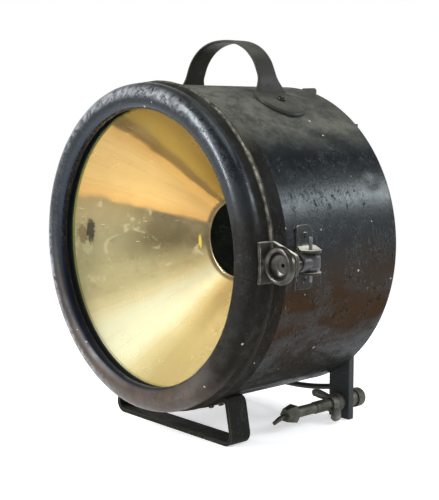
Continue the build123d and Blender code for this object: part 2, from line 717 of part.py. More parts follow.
export_step(front_stirrup.part, "parts/front_stirrup.step")

with BuildPart() as stirrup_rivets:
    add(rivets(stirrup_rivet_planes, *small_head, HINGE_SHANK_RADIUS, stirrup_grip))
stirrup_rivets.part.label = "stirrup_rivets"
export_step(stirrup_rivets.part, "parts/stirrup_rivets.step")

with BuildPart() as front_band:
    add(turned_ring(DRUM_RADIUS, DRUM_RADIUS + BAND_THICKNESS, DRUM_FRONT, DRUM_FRONT + BAND_WIDTH))
    add(front_stirrup.part, mode=Mode.SUBTRACT)
front_band.part.label = "front_band"
export_step(front_band.part, "parts/front_band.step")

# The rear legs, their bolts and their brace


def rear_leg(side):
    """A flat bar from the floor up the drum's back, with its two bolt holes and its clamp hole."""
    with BuildPart() as leg:
        with BuildSketch(facing_front(BODY_LENGTH + LEG_THICKNESS)):
            with Locations((side * LEG_CENTRE, (LEG_TOP - AXIS_HEIGHT) / 2)):
                Rectangle(LEG_WIDTH, LEG_TOP + AXIS_HEIGHT)
            with Locations((side * LEG_CENTRE, LEG_BOLT_HEIGHT), (side * LEG_CENTRE, -LEG_BOLT_HEIGHT)):
                Circle(LEG_BOLT_RADIUS, mode=Mode.SUBTRACT)
            with Locations((side * LEG_CENTRE, CLAMP_HEIGHT - AXIS_HEIGHT)):
                Circle(CLAMP_RADIUS + CLAMP_HOLE_GAP, mode=Mode.SUBTRACT)
        extrude(amount=LEG_THICKNESS)
        chamfer(leg.edges().filter_by(Axis.Z), LEG_EDGE)
        chamfer(leg.faces().sort_by(Axis.Z)[-1].edges().filter_by(Axis.X), LEG_EDGE)
    return leg.part


with BuildPart() as rear_leg_right:
    add(rear_leg(1))
rear_leg_right.part.label = "rear_leg_right"
export_step(rear_leg_right.part, "parts/rear_leg_right.step")

with BuildPart() as rear_leg_left:
    add(rear_leg(-1))
rear_leg_left.part.label = "rear_leg_left"
export_step(rear_leg_left.part, "parts/rear_leg_left.step")

leg_back = BODY_LENGTH + LEG_THICKNESS
leg_bolt_grip = LEG_THICKNESS + BACK_SHEET
leg_bolt_room = leg_bolt_grip + LEG_NUT_HEIGHT + PLAY
leg_bolt = button(LEG_BOLT_HEAD, LEG_BOLT_HEAD_HEIGHT, LEG_BOLT_RADIUS, leg_bolt_room)


def facing_back(depth, x=0.0, height=0.0):
    """A plane across the lamp with its normal to the back and its Y down."""
    return Plane(origin=(x, station(depth), AXIS_HEIGHT + height), x_dir=(1, 0, 0), z_dir=(0, 1, 0))


with BuildPart() as leg_bolts:
    with Locations(*[facing_back(leg_back, x, height) for x, height in leg_bolt_spots]):
        add(leg_bolt)
leg_bolts.part.label = "leg_bolts"
export_step(leg_bolts.part, "parts/leg_bolts.step")

with BuildPart() as leg_nuts:
    with BuildSketch(facing_front(BODY_LENGTH - BACK_SHEET)):
        with Locations(*leg_bolt_spots):
            RegularPolygon(LEG_NUT_FLATS / 2, HEX, major_radius=False)
            Circle(LEG_BOLT_RADIUS, mode=Mode.SUBTRACT)
    extrude(amount=LEG_NUT_HEIGHT)
leg_nuts.part.label = "leg_nuts"
export_step(leg_nuts.part, "parts/leg_nuts.step")

brace_end = LEG_CENTRE - LEG_WIDTH / 2
brace_depth = BODY_LENGTH + LEG_THICKNESS / 2
with BuildPart() as leg_brace:
    with BuildLine(facing_front(brace_depth, z=0)) as brace_line:
        brace_low = (0, BRACE_HEIGHT - BRACE_SAG)
        ThreePointArc((-brace_end, BRACE_HEIGHT), brace_low, (brace_end, BRACE_HEIGHT))
    with BuildSketch(Plane(brace_line.edge() @ 0, z_dir=brace_line.edge() % 0)):
        Circle(BRACE_RADIUS)
    sweep()
    with BuildSketch(facing_front(brace_depth + BRACE_RADIUS * 2, z=BRACE_HEIGHT)):
        Rectangle(2 * brace_end, AXIS_HEIGHT)
    extrude(amount=BRACE_RADIUS * 4, mode=Mode.INTERSECT)
leg_brace.part.label = "leg_brace"
export_step(leg_brace.part, "parts/leg_brace.step")

# The clamp bolts through the feet of the rear legs

clamp_sides = (-LEG_CENTRE, LEG_CENTRE)
clamp_head_depth = leg_back + CLAMP_WASHER + CLAMP_SPACER


def turned_along(spots, outline, depth, height):
    """Solids of revolution about lines along Y, from an outline of radius and distance to the back."""
    with BuildPart() as turned:
        for x in spots:
            line = Axis((x, station(depth), height), (0, 1, 0))
            with BuildSketch(Plane(origin=(x, station(depth), height))):
                with BuildLine():
                    Polyline(*outline, close=True)
                make_face()
            revolve(axis=line)
    return turned.part


clamp_outline = [
    (0, -CLAMP_SMOOTH - CLAMP_THREAD),
    (CLAMP_THREAD_RADIUS, -CLAMP_SMOOTH - CLAMP_THREAD),
    (CLAMP_THREAD_RADIUS, -CLAMP_SMOOTH),
    (CLAMP_RADIUS, -CLAMP_SMOOTH),
    (CLAMP_RADIUS, clamp_head_depth - BODY_LENGTH),
    (CLAMP_HEAD_RADIUS, clamp_head_depth - BODY_LENGTH),
    (CLAMP_HEAD_RADIUS, clamp_head_depth - BODY_LENGTH + CLAMP_HEAD_LENGTH),
    (0, clamp_head_depth - BODY_LENGTH + CLAMP_HEAD_LENGTH),
]
with BuildPart() as clamp_bolts:
    add(turned_along(clamp_sides, clamp_outline, BODY_LENGTH, CLAMP_HEIGHT))
    crowns = clamp_bolts.faces().sort_by(Axis.Y)[-2:]
    fillet([edge for face in crowns for edge in face.edges()], CLAMP_HEAD_CROWN)
clamp_bolts.part.label = "clamp_bolts"
export_step(clamp_bolts.part, "parts/clamp_bolts.step")

with BuildPart() as clamp_washers:
    for x in clamp_sides:
        with BuildSketch(facing_back(leg_back, x, CLAMP_HEIGHT - AXIS_HEIGHT)):
            Circle(CLAMP_WASHER_RADIUS)
            Circle(CLAMP_RADIUS + SLIP, mode=Mode.SUBTRACT)
        extrude(amount=CLAMP_WASHER)
clamp_washers.part.label = "clamp_washers"
export_step(clamp_washers.part, "parts/clamp_washers.step")

with BuildPart() as clamp_spacers:
    for x in clamp_sides:
        with BuildSketch(facing_back(leg_back + CLAMP_WASHER, x, CLAMP_HEIGHT - AXIS_HEIGHT)):
            Circle(CLAMP_SPACER_RADIUS)
            Circle(CLAMP_RADIUS + SLIP, mode=Mode.SUBTRACT)
        extrude(amount=CLAMP_SPACER)
clamp_spacers.part.label = "clamp_spacers"
export_step(clamp_spacers.part, "parts/clamp_spacers.step")

cone_back = BODY_LENGTH - CLAMP_SMOOTH - CLAMP_THREAD + CONE_NUT_LENGTH
with BuildPart() as cone_nuts:
    for x in clamp_sides:
        with BuildSketch(facing_front(cone_back, x, CLAMP_HEIGHT)):
            RegularPolygon(CONE_NUT_FLATS / 2, HEX, major_radius=False)
        with BuildSketch(facing_front(cone_back - CONE_NUT_LENGTH, x, CLAMP_HEIGHT)):
            RegularPolygon(CONE_NUT_TIP_FLATS / 2, HEX, major_radius=False)
        loft()
    for x in clamp_sides:
        with BuildSketch(facing_front(cone_back, x, CLAMP_HEIGHT)):
            Circle(CLAMP_THREAD_RADIUS)
        extrude(amount=CONE_NUT_LENGTH, mode=Mode.SUBTRACT)
cone_nuts.part.label = "cone_nuts"
export_step(cone_nuts.part, "parts/cone_nuts.step")

with BuildPart() as clamp_tails:
    for x in clamp_sides:
        with BuildLine(Plane.YZ.offset(x)) as tail_line:
            tail_start = (station(cone_back - CONE_NUT_LENGTH), CLAMP_HEIGHT)
            tail_bend = TAIL_LENGTH / radians(TAIL_DROOP)
            JernArc(start=tail_start, tangent=(-1, 0), radius=tail_bend, arc_size=TAIL_DROOP)
        with BuildSketch(Plane(tail_line.edge() @ 0, z_dir=tail_line.edge() % 0)):
            Circle(TAIL_RADIUS)
        sweep()
clamp_tails.part.label = "clamp_tails"
export_step(clamp_tails.part, "parts/clamp_tails.step")


def wing_nut_at(x, tilt):
    """A two-winged nut about the clamp bolt's line, with its flat face against the leg."""
    spread = (cos(radians(tilt)), 0, sin(radians(tilt)))
    centre = Plane(origin=(x, station(BODY_LENGTH), CLAMP_HEIGHT), x_dir=spread, z_dir=(0, -1, 0))
    wing_plane = Plane(origin=centre.origin, x_dir=centre.x_dir, z_dir=centre.x_dir.cross(centre.z_dir))
    with BuildPart() as nut:
        with BuildSketch(centre):
            Circle(WING_HUB_RADIUS)
        extrude(amount=WING_HUB_LENGTH)
        chamfer(nut.faces().sort_by(Axis.Y)[0].edges(), WING_BEVEL)
        with BuildSketch(wing_plane.offset(-WING_THICKNESS / 2)) as wings:
            for side in (-1, 1):
                with BuildLine():
                    hub = side * (WING_HUB_RADIUS - WING_SINK)
                    waist = side * (WING_HUB_RADIUS + WING_SPAN) / 2
                    ear = [(side * WING_EAR_OUTER, WING_EAR), (side * WING_EAR_INNER, WING_EAR)]
                    outside = [(hub, WING_ROOT), (waist, WING_WAIST), (side * WING_SPAN, WING_NECK)]
                    Polyline(*outside, *ear, (hub, WING_CROWN), close=True)
                make_face()
            outer = [v for v in wings.vertices() if abs(v.X) > WING_HUB_RADIUS + WING_EDGE]
            fillet(outer, WING_EDGE)
        extrude(amount=WING_THICKNESS)
        with BuildSketch(centre):
            Circle(CLAMP_RADIUS + FIT)
        extrude(amount=WING_HUB_LENGTH * 2, mode=Mode.SUBTRACT)
    return nut.part


with BuildPart() as wing_nut_right:
    add(wing_nut_at(LEG_CENTRE, WING_TILT))
wing_nut_right.part.label = "wing_nut_right"
export_step(wing_nut_right.part, "parts/wing_nut_right.step")

with BuildPart() as wing_nut_left:
    add(wing_nut_at(-LEG_CENTRE, 180 - WING_TILT))
wing_nut_left.part.label = "wing_nut_left"
export_step(wing_nut_left.part, "parts/wing_nut_left.step")

# The door's hinge

middle = HINGE_MIDDLE / 2 - PLAY / 2
outer_low = HINGE_MIDDLE / 2 + PLAY / 2
outer_high = HINGE_MIDDLE / 2 + HINGE_OUTER
hinge_centre = (-HINGE_OUT, HINGE_DEPTH)

with BuildPart() as hinge_arm:
    with BuildSketch(level(-middle)):
        with Locations(hinge_centre):
            Circle(HINGE_KNUCKLE_RADIUS)
        with BuildLine():
            reach = REAR_EDGE_RADIUS + HINGE_LUG_THICKNESS
            arm_back = DOOR_DEPTH - PLAY * 2
            arm_front = arm_back - HINGE_KNUCKLE_RADIUS * 2
            knuckle_side = (hinge_centre[0], hinge_centre[1] - HINGE_KNUCKLE_RADIUS)
            Polyline(hinge_centre, knuckle_side, (-reach + HINGE_KNUCKLE_RADIUS / 2, arm_front))
            Polyline((-reach + HINGE_KNUCKLE_RADIUS / 2, arm_front), (-SKIRT_RADIUS + DOOR_SHEET, arm_front))
            Line((-SKIRT_RADIUS + DOOR_SHEET, arm_front), (-SKIRT_RADIUS + DOOR_SHEET, arm_back))
            Line((-SKIRT_RADIUS + DOOR_SHEET, arm_back), (-reach + HINGE_KNUCKLE_RADIUS / 3, arm_back))
            Line((-reach + HINGE_KNUCKLE_RADIUS / 3, arm_back), hinge_centre)
        make_face()
    extrude(amount=2 * middle)

with BuildPart() as hinge_door_leaf:
    with BuildSketch(turning_plane):
        section(SKIRT_RADIUS, REAR_EDGE_RADIUS + HINGE_LUG_THICKNESS, HINGE_LUG_START, DOOR_DEPTH - PLAY * 2)
    revolve(axis=drum_axis)
    with BuildSketch(level(-HINGE_LUG_HALF)):
        with Locations((-HINGE_OUT, DOOR_DEPTH / 2)):
            Rectangle(HINGE_OUT, BODY_LENGTH)
    extrude(amount=2 * HINGE_LUG_HALF, mode=Mode.INTERSECT)
    add(hinge_arm.part)
    add(door_room.part, mode=Mode.SUBTRACT)
    with BuildSketch(level(-middle)):
        with Locations(hinge_centre):
            Circle(HINGE_PIN_RADIUS + FIT)
    extrude(amount=2 * middle, mode=Mode.SUBTRACT)
hinge_door_leaf.part.label = "hinge_door_leaf"
export_step(hinge_door_leaf.part, "parts/hinge_door_leaf.step")

with BuildPart() as hinge_drum_leaf:
    with BuildSketch(turning_plane):
        section(DRUM_RADIUS, leaf_top, HINGE_LEAF_START, HINGE_LEAF_START + HINGE_LEAF_LENGTH)
    revolve(axis=drum_axis)
    with BuildSketch(level(-outer_high)):
        with Locations((-HINGE_OUT, DOOR_DEPTH)):
            Rectangle(HINGE_OUT, BODY_LENGTH)
    extrude(amount=2 * outer_high, mode=Mode.INTERSECT)
    for low in (outer_low, -outer_high):
        with BuildSketch(level(low)):
            with Locations(hinge_centre):
                Circle(HINGE_KNUCKLE_RADIUS)
            with BuildLine():
                arm_end = HINGE_LEAF_START + HINGE_ARM_SETBACK
                outer_side = (hinge_centre[0] - HINGE_KNUCKLE_RADIUS, hinge_centre[1])
                arm_root = [(-leaf_top - HINGE_LEAF_SHEET, arm_end), (-DRUM_BORE, arm_end)]
                Polyline(hinge_centre, outer_side, *arm_root, (-DRUM_BORE, hinge_centre[1]), close=True)
            make_face()
        extrude(amount=outer_high - outer_low)
    add(drum_room.part, mode=Mode.SUBTRACT)
    with BuildSketch(level(-outer_high)):
        with Locations(hinge_centre):
            Circle(HINGE_PIN_RADIUS + FIT)
    extrude(amount=2 * outer_high, mode=Mode.SUBTRACT)
    add(hinge_holes, mode=Mode.SUBTRACT)
hinge_drum_leaf.part.label = "hinge_drum_leaf"
export_step(hinge_drum_leaf.part, "parts/hinge_drum_leaf.step")

with BuildPart() as hinge_pin:
    with BuildSketch(level(-outer_high - HINGE_PIN_RADIUS)):
        with Locations(hinge_centre):
            Circle(HINGE_PIN_RADIUS)
    extrude(amount=2 * outer_high + HINGE_PIN_RADIUS)
    with BuildSketch(level(outer_high)):
        with Locations(hinge_centre):
            Circle(HINGE_PIN_HEAD)
    extrude(amount=HINGE_PIN_RADIUS)
    fillet(hinge_pin.faces().sort_by(Axis.Z)[-1].edges(), HINGE_PIN_RADIUS * ROUNDING)
hinge_pin.part.label = "hinge_pin"
export_step(hinge_pin.part, "parts/hinge_pin.step")

with BuildPart() as hinge_rivets:
    add(rivets(hinge_rivet_planes, *small_head, HINGE_SHANK_RADIUS, hinge_grip))
hinge_rivets.part.label = "hinge_rivets"
export_step(hinge_rivets.part, "parts/hinge_rivets.step")

# The latch

lug_back = LUG_FRONT + LUG_THICKNESS
lug_reach = LATCH_OUT + LUG_MARGIN
latch_pin = (LATCH_OUT, LATCH_PIN_DEPTH)
screw_tip = LATCH_PIN_DEPTH - LATCH_PIN_RADIUS - SCREW_TIP_GAP + PLAY

with BuildPart() as door_lug:
    with BuildSketch(turning_plane):
        section(SKIRT_RADIUS, BEAD_RADIUS + LUG_BASE_THICKNESS, LUG_BASE_START, lug_back)
    revolve(axis=drum_axis)
    with BuildSketch(facing_front(lug_back, LATCH_OUT, LATCH_HEIGHT)):
        RectangleRounded(2 * (LATCH_OUT - DRUM_BORE / 2), 2 * LUG_ROOT_HALF, LUG_CORNER)
    extrude(amount=lug_back, mode=Mode.INTERSECT)
    with BuildSketch(facing_front(lug_back, z=LATCH_HEIGHT)) as lug_face:
        with BuildLine():
            lug_root = [(SKIRT_RADIUS, -LUG_ROOT_HALF), (BEAD_RADIUS + LUG_BASE_THICKNESS, -LUG_ROOT_HALF)]
            lug_tip = [(lug_reach, -LUG_TIP_HALF), (lug_reach, LUG_TIP_HALF)]
            lug_top = [(BEAD_RADIUS + LUG_BASE_THICKNESS, LUG_ROOT_HALF), (SKIRT_RADIUS, LUG_ROOT_HALF)]
            Polyline(*lug_root, *lug_tip, *lug_top, close=True)
        make_face()
        fillet(lug_face.vertices().sort_by(Axis.X)[-2:], LUG_CORNER)
    extrude(amount=LUG_THICKNESS)
    add(door_room.part, mode=Mode.SUBTRACT)
    with BuildSketch(facing_front(lug_back, LATCH_OUT, LATCH_HEIGHT)):
        Circle(SCREW_RADIUS + FIT)
    extrude(amount=LUG_THICKNESS, mode=Mode.SUBTRACT)
door_lug.part.label = "door_lug"
export_step(door_lug.part, "parts/door_lug.step")

with BuildPart() as latch_bracket:
    with BuildSketch(turning_plane):
        section(DRUM_RADIUS, bracket_top, BRACKET_START, BRACKET_START + BRACKET_LENGTH)
    revolve(axis=drum_axis)
    bracket_middle = (station(BRACKET_START + BRACKET_LENGTH / 2), LATCH_HEIGHT)
    with BuildSketch(Plane.YZ):
        with Locations(bracket_middle):
            RectangleRounded(BRACKET_LENGTH, 2 * BRACKET_HALF, LUG_CORNER)
    extrude(amount=LATCH_OUT, mode=Mode.INTERSECT)
    for low in (EAR_GAP / 2, -EAR_GAP / 2 - EAR_THICKNESS):
        with BuildSketch(level(low + LATCH_RISE)):
            with Locations((DRUM_BORE + BRACKET_SHEET * 2, BRACKET_START + BRACKET_LENGTH / 2)):
                Rectangle(BRACKET_SHEET * 2, BRACKET_LENGTH)
            with Locations(latch_pin):
                Circle(EAR_RADIUS)
            make_hull()
            with Locations(latch_pin):
                Circle(LATCH_PIN_RADIUS + FIT, mode=Mode.SUBTRACT)
        extrude(amount=EAR_THICKNESS)
    add(drum_room.part, mode=Mode.SUBTRACT)
    add(bracket_holes, mode=Mode.SUBTRACT)
latch_bracket.part.label = "latch_bracket"
export_step(latch_bracket.part, "parts/latch_bracket.step")

with BuildPart() as latch_rivets:
    add(rivets(bracket_rivet_planes, *small_head, HINGE_SHANK_RADIUS, bracket_grip))
latch_rivets.part.label = "latch_rivets"
export_step(latch_rivets.part, "parts/latch_rivets.step")

with BuildPart() as latch_pin_rod:
    with BuildSketch(level(LATCH_RISE - LATCH_PIN_DOWN)):
        with Locations(latch_pin):
            Circle(LATCH_PIN_RADIUS)
    extrude(amount=LATCH_PIN_DOWN + LATCH_PIN_UP)
    fillet(latch_pin_rod.faces().sort_by(Axis.Z)[-1].edges(), LATCH_PIN_RADIUS * ROUNDING)
latch_pin_rod.part.label = "latch_pin"
export_step(latch_pin_rod.part, "parts/latch_pin.step")

collar_back = lug_back + PLAY + COLLAR_LENGTH
barrel_front = collar_back + NUT_CLEAR

with BuildPart() as latch_nut:
    nut_height = EAR_GAP - PLAY
    with BuildSketch(level(LATCH_RISE - nut_height / 2)):
        with Locations(latch_pin):
            Circle(NUT_RADIUS)
    extrude(amount=nut_height)
    fillet(latch_nut.edges().filter_by(GeomType.CIRCLE), NUT_EDGE)
    with BuildSketch(facing_front(LATCH_PIN_DEPTH, LATCH_OUT, LATCH_HEIGHT)):
        Circle(NUT_BARREL_RADIUS)
    extrude(amount=LATCH_PIN_DEPTH - barrel_front)
    fillet(latch_nut.faces().sort_by(Axis.Y)[0].edges(), NUT_BARREL_EDGE)
    with BuildSketch(level(LATCH_RISE - nut_height / 2)):
        with Locations(latch_pin):
            Circle(LATCH_PIN_RADIUS + FIT)
    extrude(amount=nut_height, mode=Mode.SUBTRACT)
    with BuildSketch(facing_front(screw_tip + PLAY, LATCH_OUT, LATCH_HEIGHT)):
        Circle(SCREW_RADIUS + SCREW_BORE_GAP)
    extrude(amount=NUT_RADIUS * 2, mode=Mode.SUBTRACT)
latch_nut.part.label = "latch_nut"
export_step(latch_nut.part, "parts/latch_nut.step")

split_pin_depth = lug_back + PLAY + SPLIT_PIN_SETBACK
dish_floor = KNOB_FACE + KNOB_DISH
knob_back = LUG_FRONT - PLAY

with BuildPart() as thumb_screw:
    with BuildSketch(Plane(origin=(LATCH_OUT, station(0), LATCH_HEIGHT))):
        with BuildLine():
            rim_turn = KNOB_FACE + KNOB_RIM
            rim_inner = KNOB_RADIUS - 2 * KNOB_RIM
            Line((0, dish_floor), (KNOB_HUB_RADIUS, dish_floor))
            ThreePointArc(
                (KNOB_HUB_RADIUS, dish_floor),
                (KNOB_BOWL_OUT, KNOB_FACE + KNOB_BOWL_DROP),
                (rim_inner, rim_turn),
            )
            rim_crown = (KNOB_RADIUS - KNOB_RIM, KNOB_FACE)
            ThreePointArc((rim_inner, rim_turn), rim_crown, (KNOB_RADIUS, rim_turn))
            Line((KNOB_RADIUS, rim_turn), (KNOB_RADIUS, rim_turn + KNOB_SIDE))
            Line((KNOB_RADIUS, rim_turn + KNOB_SIDE), (KNOB_HUB_RADIUS, knob_back - KNOB_RIM))
            Line((KNOB_HUB_RADIUS, knob_back - KNOB_RIM), (KNOB_HUB_RADIUS, knob_back))
            Line((KNOB_HUB_RADIUS, knob_back), (SCREW_RADIUS, knob_back))
            Line((SCREW_RADIUS, knob_back), (SCREW_RADIUS, screw_tip))
            Line((SCREW_RADIUS, screw_tip), (0, screw_tip))
            Line((0, screw_tip), (0, dish_floor))
        make_face()
    revolve(axis=Axis((LATCH_OUT, 0, LATCH_HEIGHT), (0, 1, 0)))
    with BuildSketch(facing_front(dish_floor + KNOB_HOLE_DEPTH, LATCH_OUT, LATCH_HEIGHT)):
        Circle(KNOB_HOLE_RADIUS)
    extrude(amount=KNOB_HOLE_DEPTH, mode=Mode.SUBTRACT)
    with BuildSketch(Plane(origin=(LATCH_OUT, station(split_pin_depth), LATCH_HEIGHT))):
        Circle(SPLIT_PIN_RADIUS)
    extrude(amount=COLLAR_OUTER, both=True, mode=Mode.SUBTRACT)
thumb_screw.part.label = "thumb_screw"
export_step(thumb_screw.part, "parts/thumb_screw.step")

with BuildPart() as screw_collar:
    with BuildSketch(facing_front(collar_back, LATCH_OUT, LATCH_HEIGHT)):
        Circle(COLLAR_OUTER)
        Circle(SCREW_RADIUS, mode=Mode.SUBTRACT)
    extrude(amount=COLLAR_LENGTH)
    with BuildSketch(Plane(origin=(LATCH_OUT, station(split_pin_depth), LATCH_HEIGHT))):
        Circle(SPLIT_PIN_RADIUS)
    extrude(amount=COLLAR_OUTER, both=True, mode=Mode.SUBTRACT)
screw_collar.part.label = "screw_collar"
export_step(screw_collar.part, "parts/screw_collar.step")

with BuildPart() as split_pin:
    with BuildSketch(Plane(origin=(LATCH_OUT, station(split_pin_depth), LATCH_HEIGHT - SPLIT_PIN_REACH))):
        Circle(SPLIT_PIN_RADIUS)
    extrude(amount=SPLIT_PIN_REACH + COLLAR_OUTER + SPLIT_PIN_RADIUS)
    eye_height = LATCH_HEIGHT + COLLAR_OUTER + SPLIT_PIN_RADIUS * 3
    with Locations((LATCH_OUT, station(split_pin_depth), eye_height)):
        Torus(SPLIT_PIN_RADIUS * 2, SPLIT_PIN_RADIUS, rotation=(90, 0, 0))
split_pin.part.label = "split_pin"
export_step(split_pin.part, "parts/split_pin.step")

# The focusing lamp

bush_back = BODY_LENGTH + BUSH_LENGTH
holder_back = BODY_LENGTH - BACK_SHEET - HOLDER_BACK_GAP
holder_front = holder_back - HOLDER_LENGTH
cap_back = holder_front + CAP_LENGTH - CAP_SHOW
tube_front = cap_back + HOLDER_WALL
tube_back = bush_back + FOCUS_TRAVEL + END_CAP_LENGTH / 2 + PLAY
focus_depth = BODY_LENGTH + FOCUS_SCREW_SETBACK

with BuildPart() as focus_bush:
    with BuildSketch(turning_plane):
        section(TUBE_RADIUS + FIT, BUSH_RADIUS, BODY_LENGTH - BACK_SHEET, bush_back)
        section(BUSH_RADIUS, BUSH_FLANGE_RADIUS, BODY_LENGTH, BODY_LENGTH + BUSH_FLANGE)
    revolve(axis=drum_axis)
    with BuildSketch(facing_front(BODY_LENGTH + BUSH_FLANGE)):
        with Locations(*bush_screw_spots):
            Circle(BUSH_SCREW_RADIUS)
    extrude(amount=BUSH_FLANGE, mode=Mode.SUBTRACT)
    with BuildSketch(Plane.YZ):
        with Locations((station(focus_depth), AXIS_HEIGHT)):
            Circle(FOCUS_SCREW_RADIUS + FIT)
    extrude(amount=BUSH_FLANGE_RADIUS, mode=Mode.SUBTRACT)
focus_bush.part.label = "focus_bush"
export_step(focus_bush.part, "parts/focus_bush.step")

bush_screw = button(BUSH_SCREW_HEAD, BUSH_SCREW_HEIGHT, BUSH_SCREW_RADIUS, BUSH_FLANGE + BACK_SHEET)
with BuildPart() as bush_screws:
    with Locations(*[facing_back(BODY_LENGTH + BUSH_FLANGE, x, height) for x, height in bush_screw_spots]):
        add(bush_screw)
bush_screws.part.label = "bush_screws"
export_step(bush_screws.part, "parts/bush_screws.step")

with BuildPart() as focus_screw:
    tip_out = TUBE_RADIUS + FOCUS_TIP_GAP
    knob_out = BUSH_RADIUS + FOCUS_KNOB_GAP
    with BuildSketch(Plane.YZ.offset(tip_out)):
        with Locations((station(focus_depth), AXIS_HEIGHT)):
            Circle(FOCUS_SCREW_RADIUS)
    extrude(amount=knob_out - tip_out)
    with BuildSketch(Plane.YZ.offset(knob_out)):
        with Locations((station(focus_depth), AXIS_HEIGHT)):
            Circle(FOCUS_KNOB_RADIUS)
            with PolarLocations(FOCUS_KNOB_RADIUS, FOCUS_FLUTES):
                Circle(FLUTE_RADIUS, mode=Mode.SUBTRACT)
    extrude(amount=FOCUS_KNOB_LENGTH)
focus_screw.part.label = "focus_screw"
export_step(focus_screw.part, "parts/focus_screw.step")

with BuildPart() as lamp_tube:
    add(turned_ring(TUBE_RADIUS - TUBE_WALL, TUBE_RADIUS, tube_front, tube_back))
lamp_tube.part.label = "lamp_tube"
export_step(lamp_tube.part, "parts/lamp_tube.step")

with BuildPart() as lamp_holder:
    with BuildSketch(turning_plane):
        with BuildLine():
            socket_outer = CAP_RADIUS + SLIP
            front_lip = [(socket_outer, holder_front), (HOLDER_RADIUS, holder_front)]
            back_lip = [(HOLDER_RADIUS, holder_back), (TUBE_RADIUS, holder_back)]
            tube_seat = [(TUBE_RADIUS, tube_front), (0, tube_front)]
            socket = [(0, cap_back), (socket_outer, cap_back)]
            Polyline(*front_lip, *back_lip, *tube_seat, *socket, close=True)
        make_face()
    revolve(axis=drum_axis)
    rims = lamp_holder.faces().filter_by(GeomType.CYLINDER).sort_by(SortBy.RADIUS)[-1].edges()
    chamfer(rims.filter_by(GeomType.CIRCLE), HOLDER_BEVEL)
lamp_holder.part.label = "lamp_holder"
export_step(lamp_holder.part, "parts/lamp_holder.step")

cap_front = holder_front - CAP_SHOW
neck_back = cap_front + BULB_SINK
bulb_middle = BULB_TIP_DEPTH + BULB_RADIUS

with BuildPart() as bulb_cap:
    with BuildSketch(turning_plane):
        with BuildLine():
            cap_rim = [(BULB_NECK, cap_front), (CAP_RADIUS, cap_front), (CAP_RADIUS, cap_back)]
            cap_floor = [(0, cap_back), (0, neck_back), (BULB_NECK, neck_back)]
            Polyline(*cap_rim, *cap_floor, close=True)
        make_face()
    revolve(axis=drum_axis)
bulb_cap.part.label = "bulb_cap"
export_step(bulb_cap.part, "parts/bulb_cap.step")

with BuildPart() as lamp_bulb:
    with BuildSketch(turning_plane):
        with BuildLine():
            swell = (BULB_RADIUS, bulb_middle)
            ThreePointArc(
                (0, BULB_TIP_DEPTH),
                (BULB_RADIUS / sqrt(2), bulb_middle - BULB_RADIUS / sqrt(2)),
                swell,
            )
            Spline(swell, (BULB_NECK, cap_front), tangents=((0, 1), (0, 1)))
            Polyline((BULB_NECK, cap_front), (BULB_NECK, neck_back), (0, neck_back), (0, BULB_TIP_DEPTH))
        make_face()
    revolve(axis=drum_axis)
lamp_bulb.part.label = "lamp_bulb"
export_step(lamp_bulb.part, "parts/lamp_bulb.step")

cap_end = tube_back + END_CAP_LENGTH
with BuildPart() as tube_end_cap:
    with BuildSketch(turning_plane):
        with BuildLine():
            skirt_end = tube_back - END_CAP_LENGTH / 2
            cap_skirt = [(TUBE_RADIUS, skirt_end), (END_CAP_RADIUS, skirt_end)]
            Polyline(*cap_skirt, (END_CAP_RADIUS, cap_end), (GLAND_BORE, cap_end))
            Polyline((GLAND_BORE, cap_end), (GLAND_BORE, tube_back), (TUBE_RADIUS, tube_back), cap_skirt[0])
        make_face()
    revolve(axis=drum_axis)
tube_end_cap.part.label = "tube_end_cap"
export_step(tube_end_cap.part, "parts/tube_end_cap.step")

with BuildPart() as cable_gland:
    with BuildSketch(facing_back(cap_end)):
        RegularPolygon(GLAND_FLATS / 2, HEX, major_radius=False)
    extrude(amount=GLAND_HEX_LENGTH)
    with BuildSketch(facing_back(cap_end)):
        Circle(GLAND_NOSE_RADIUS)
    extrude(amount=GLAND_LENGTH)
    chamfer(cable_gland.faces().sort_by(Axis.Y)[-1].edges(), GLAND_BEVEL)
    with BuildSketch(facing_back(cap_end)):
        Circle(GLAND_BORE)
    extrude(amount=GLAND_LENGTH, mode=Mode.SUBTRACT)
cable_gland.part.label = "cable_gland"
export_step(cable_gland.part, "parts/cable_gland.step")
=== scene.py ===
# %% [markdown]
# # A follow spot, dressed
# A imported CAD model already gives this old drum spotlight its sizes, bodies and joints. This
# script gives it its looks: cleaner curved sheet metal, small fittings, worn enamel, and a
# tarnished brass reflector. The CAD model is loaded first and is never moved.

# %% Load the frame
from math import cos, pi, radians, sin, sqrt

import bmesh
import bpy
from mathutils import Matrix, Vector, noise


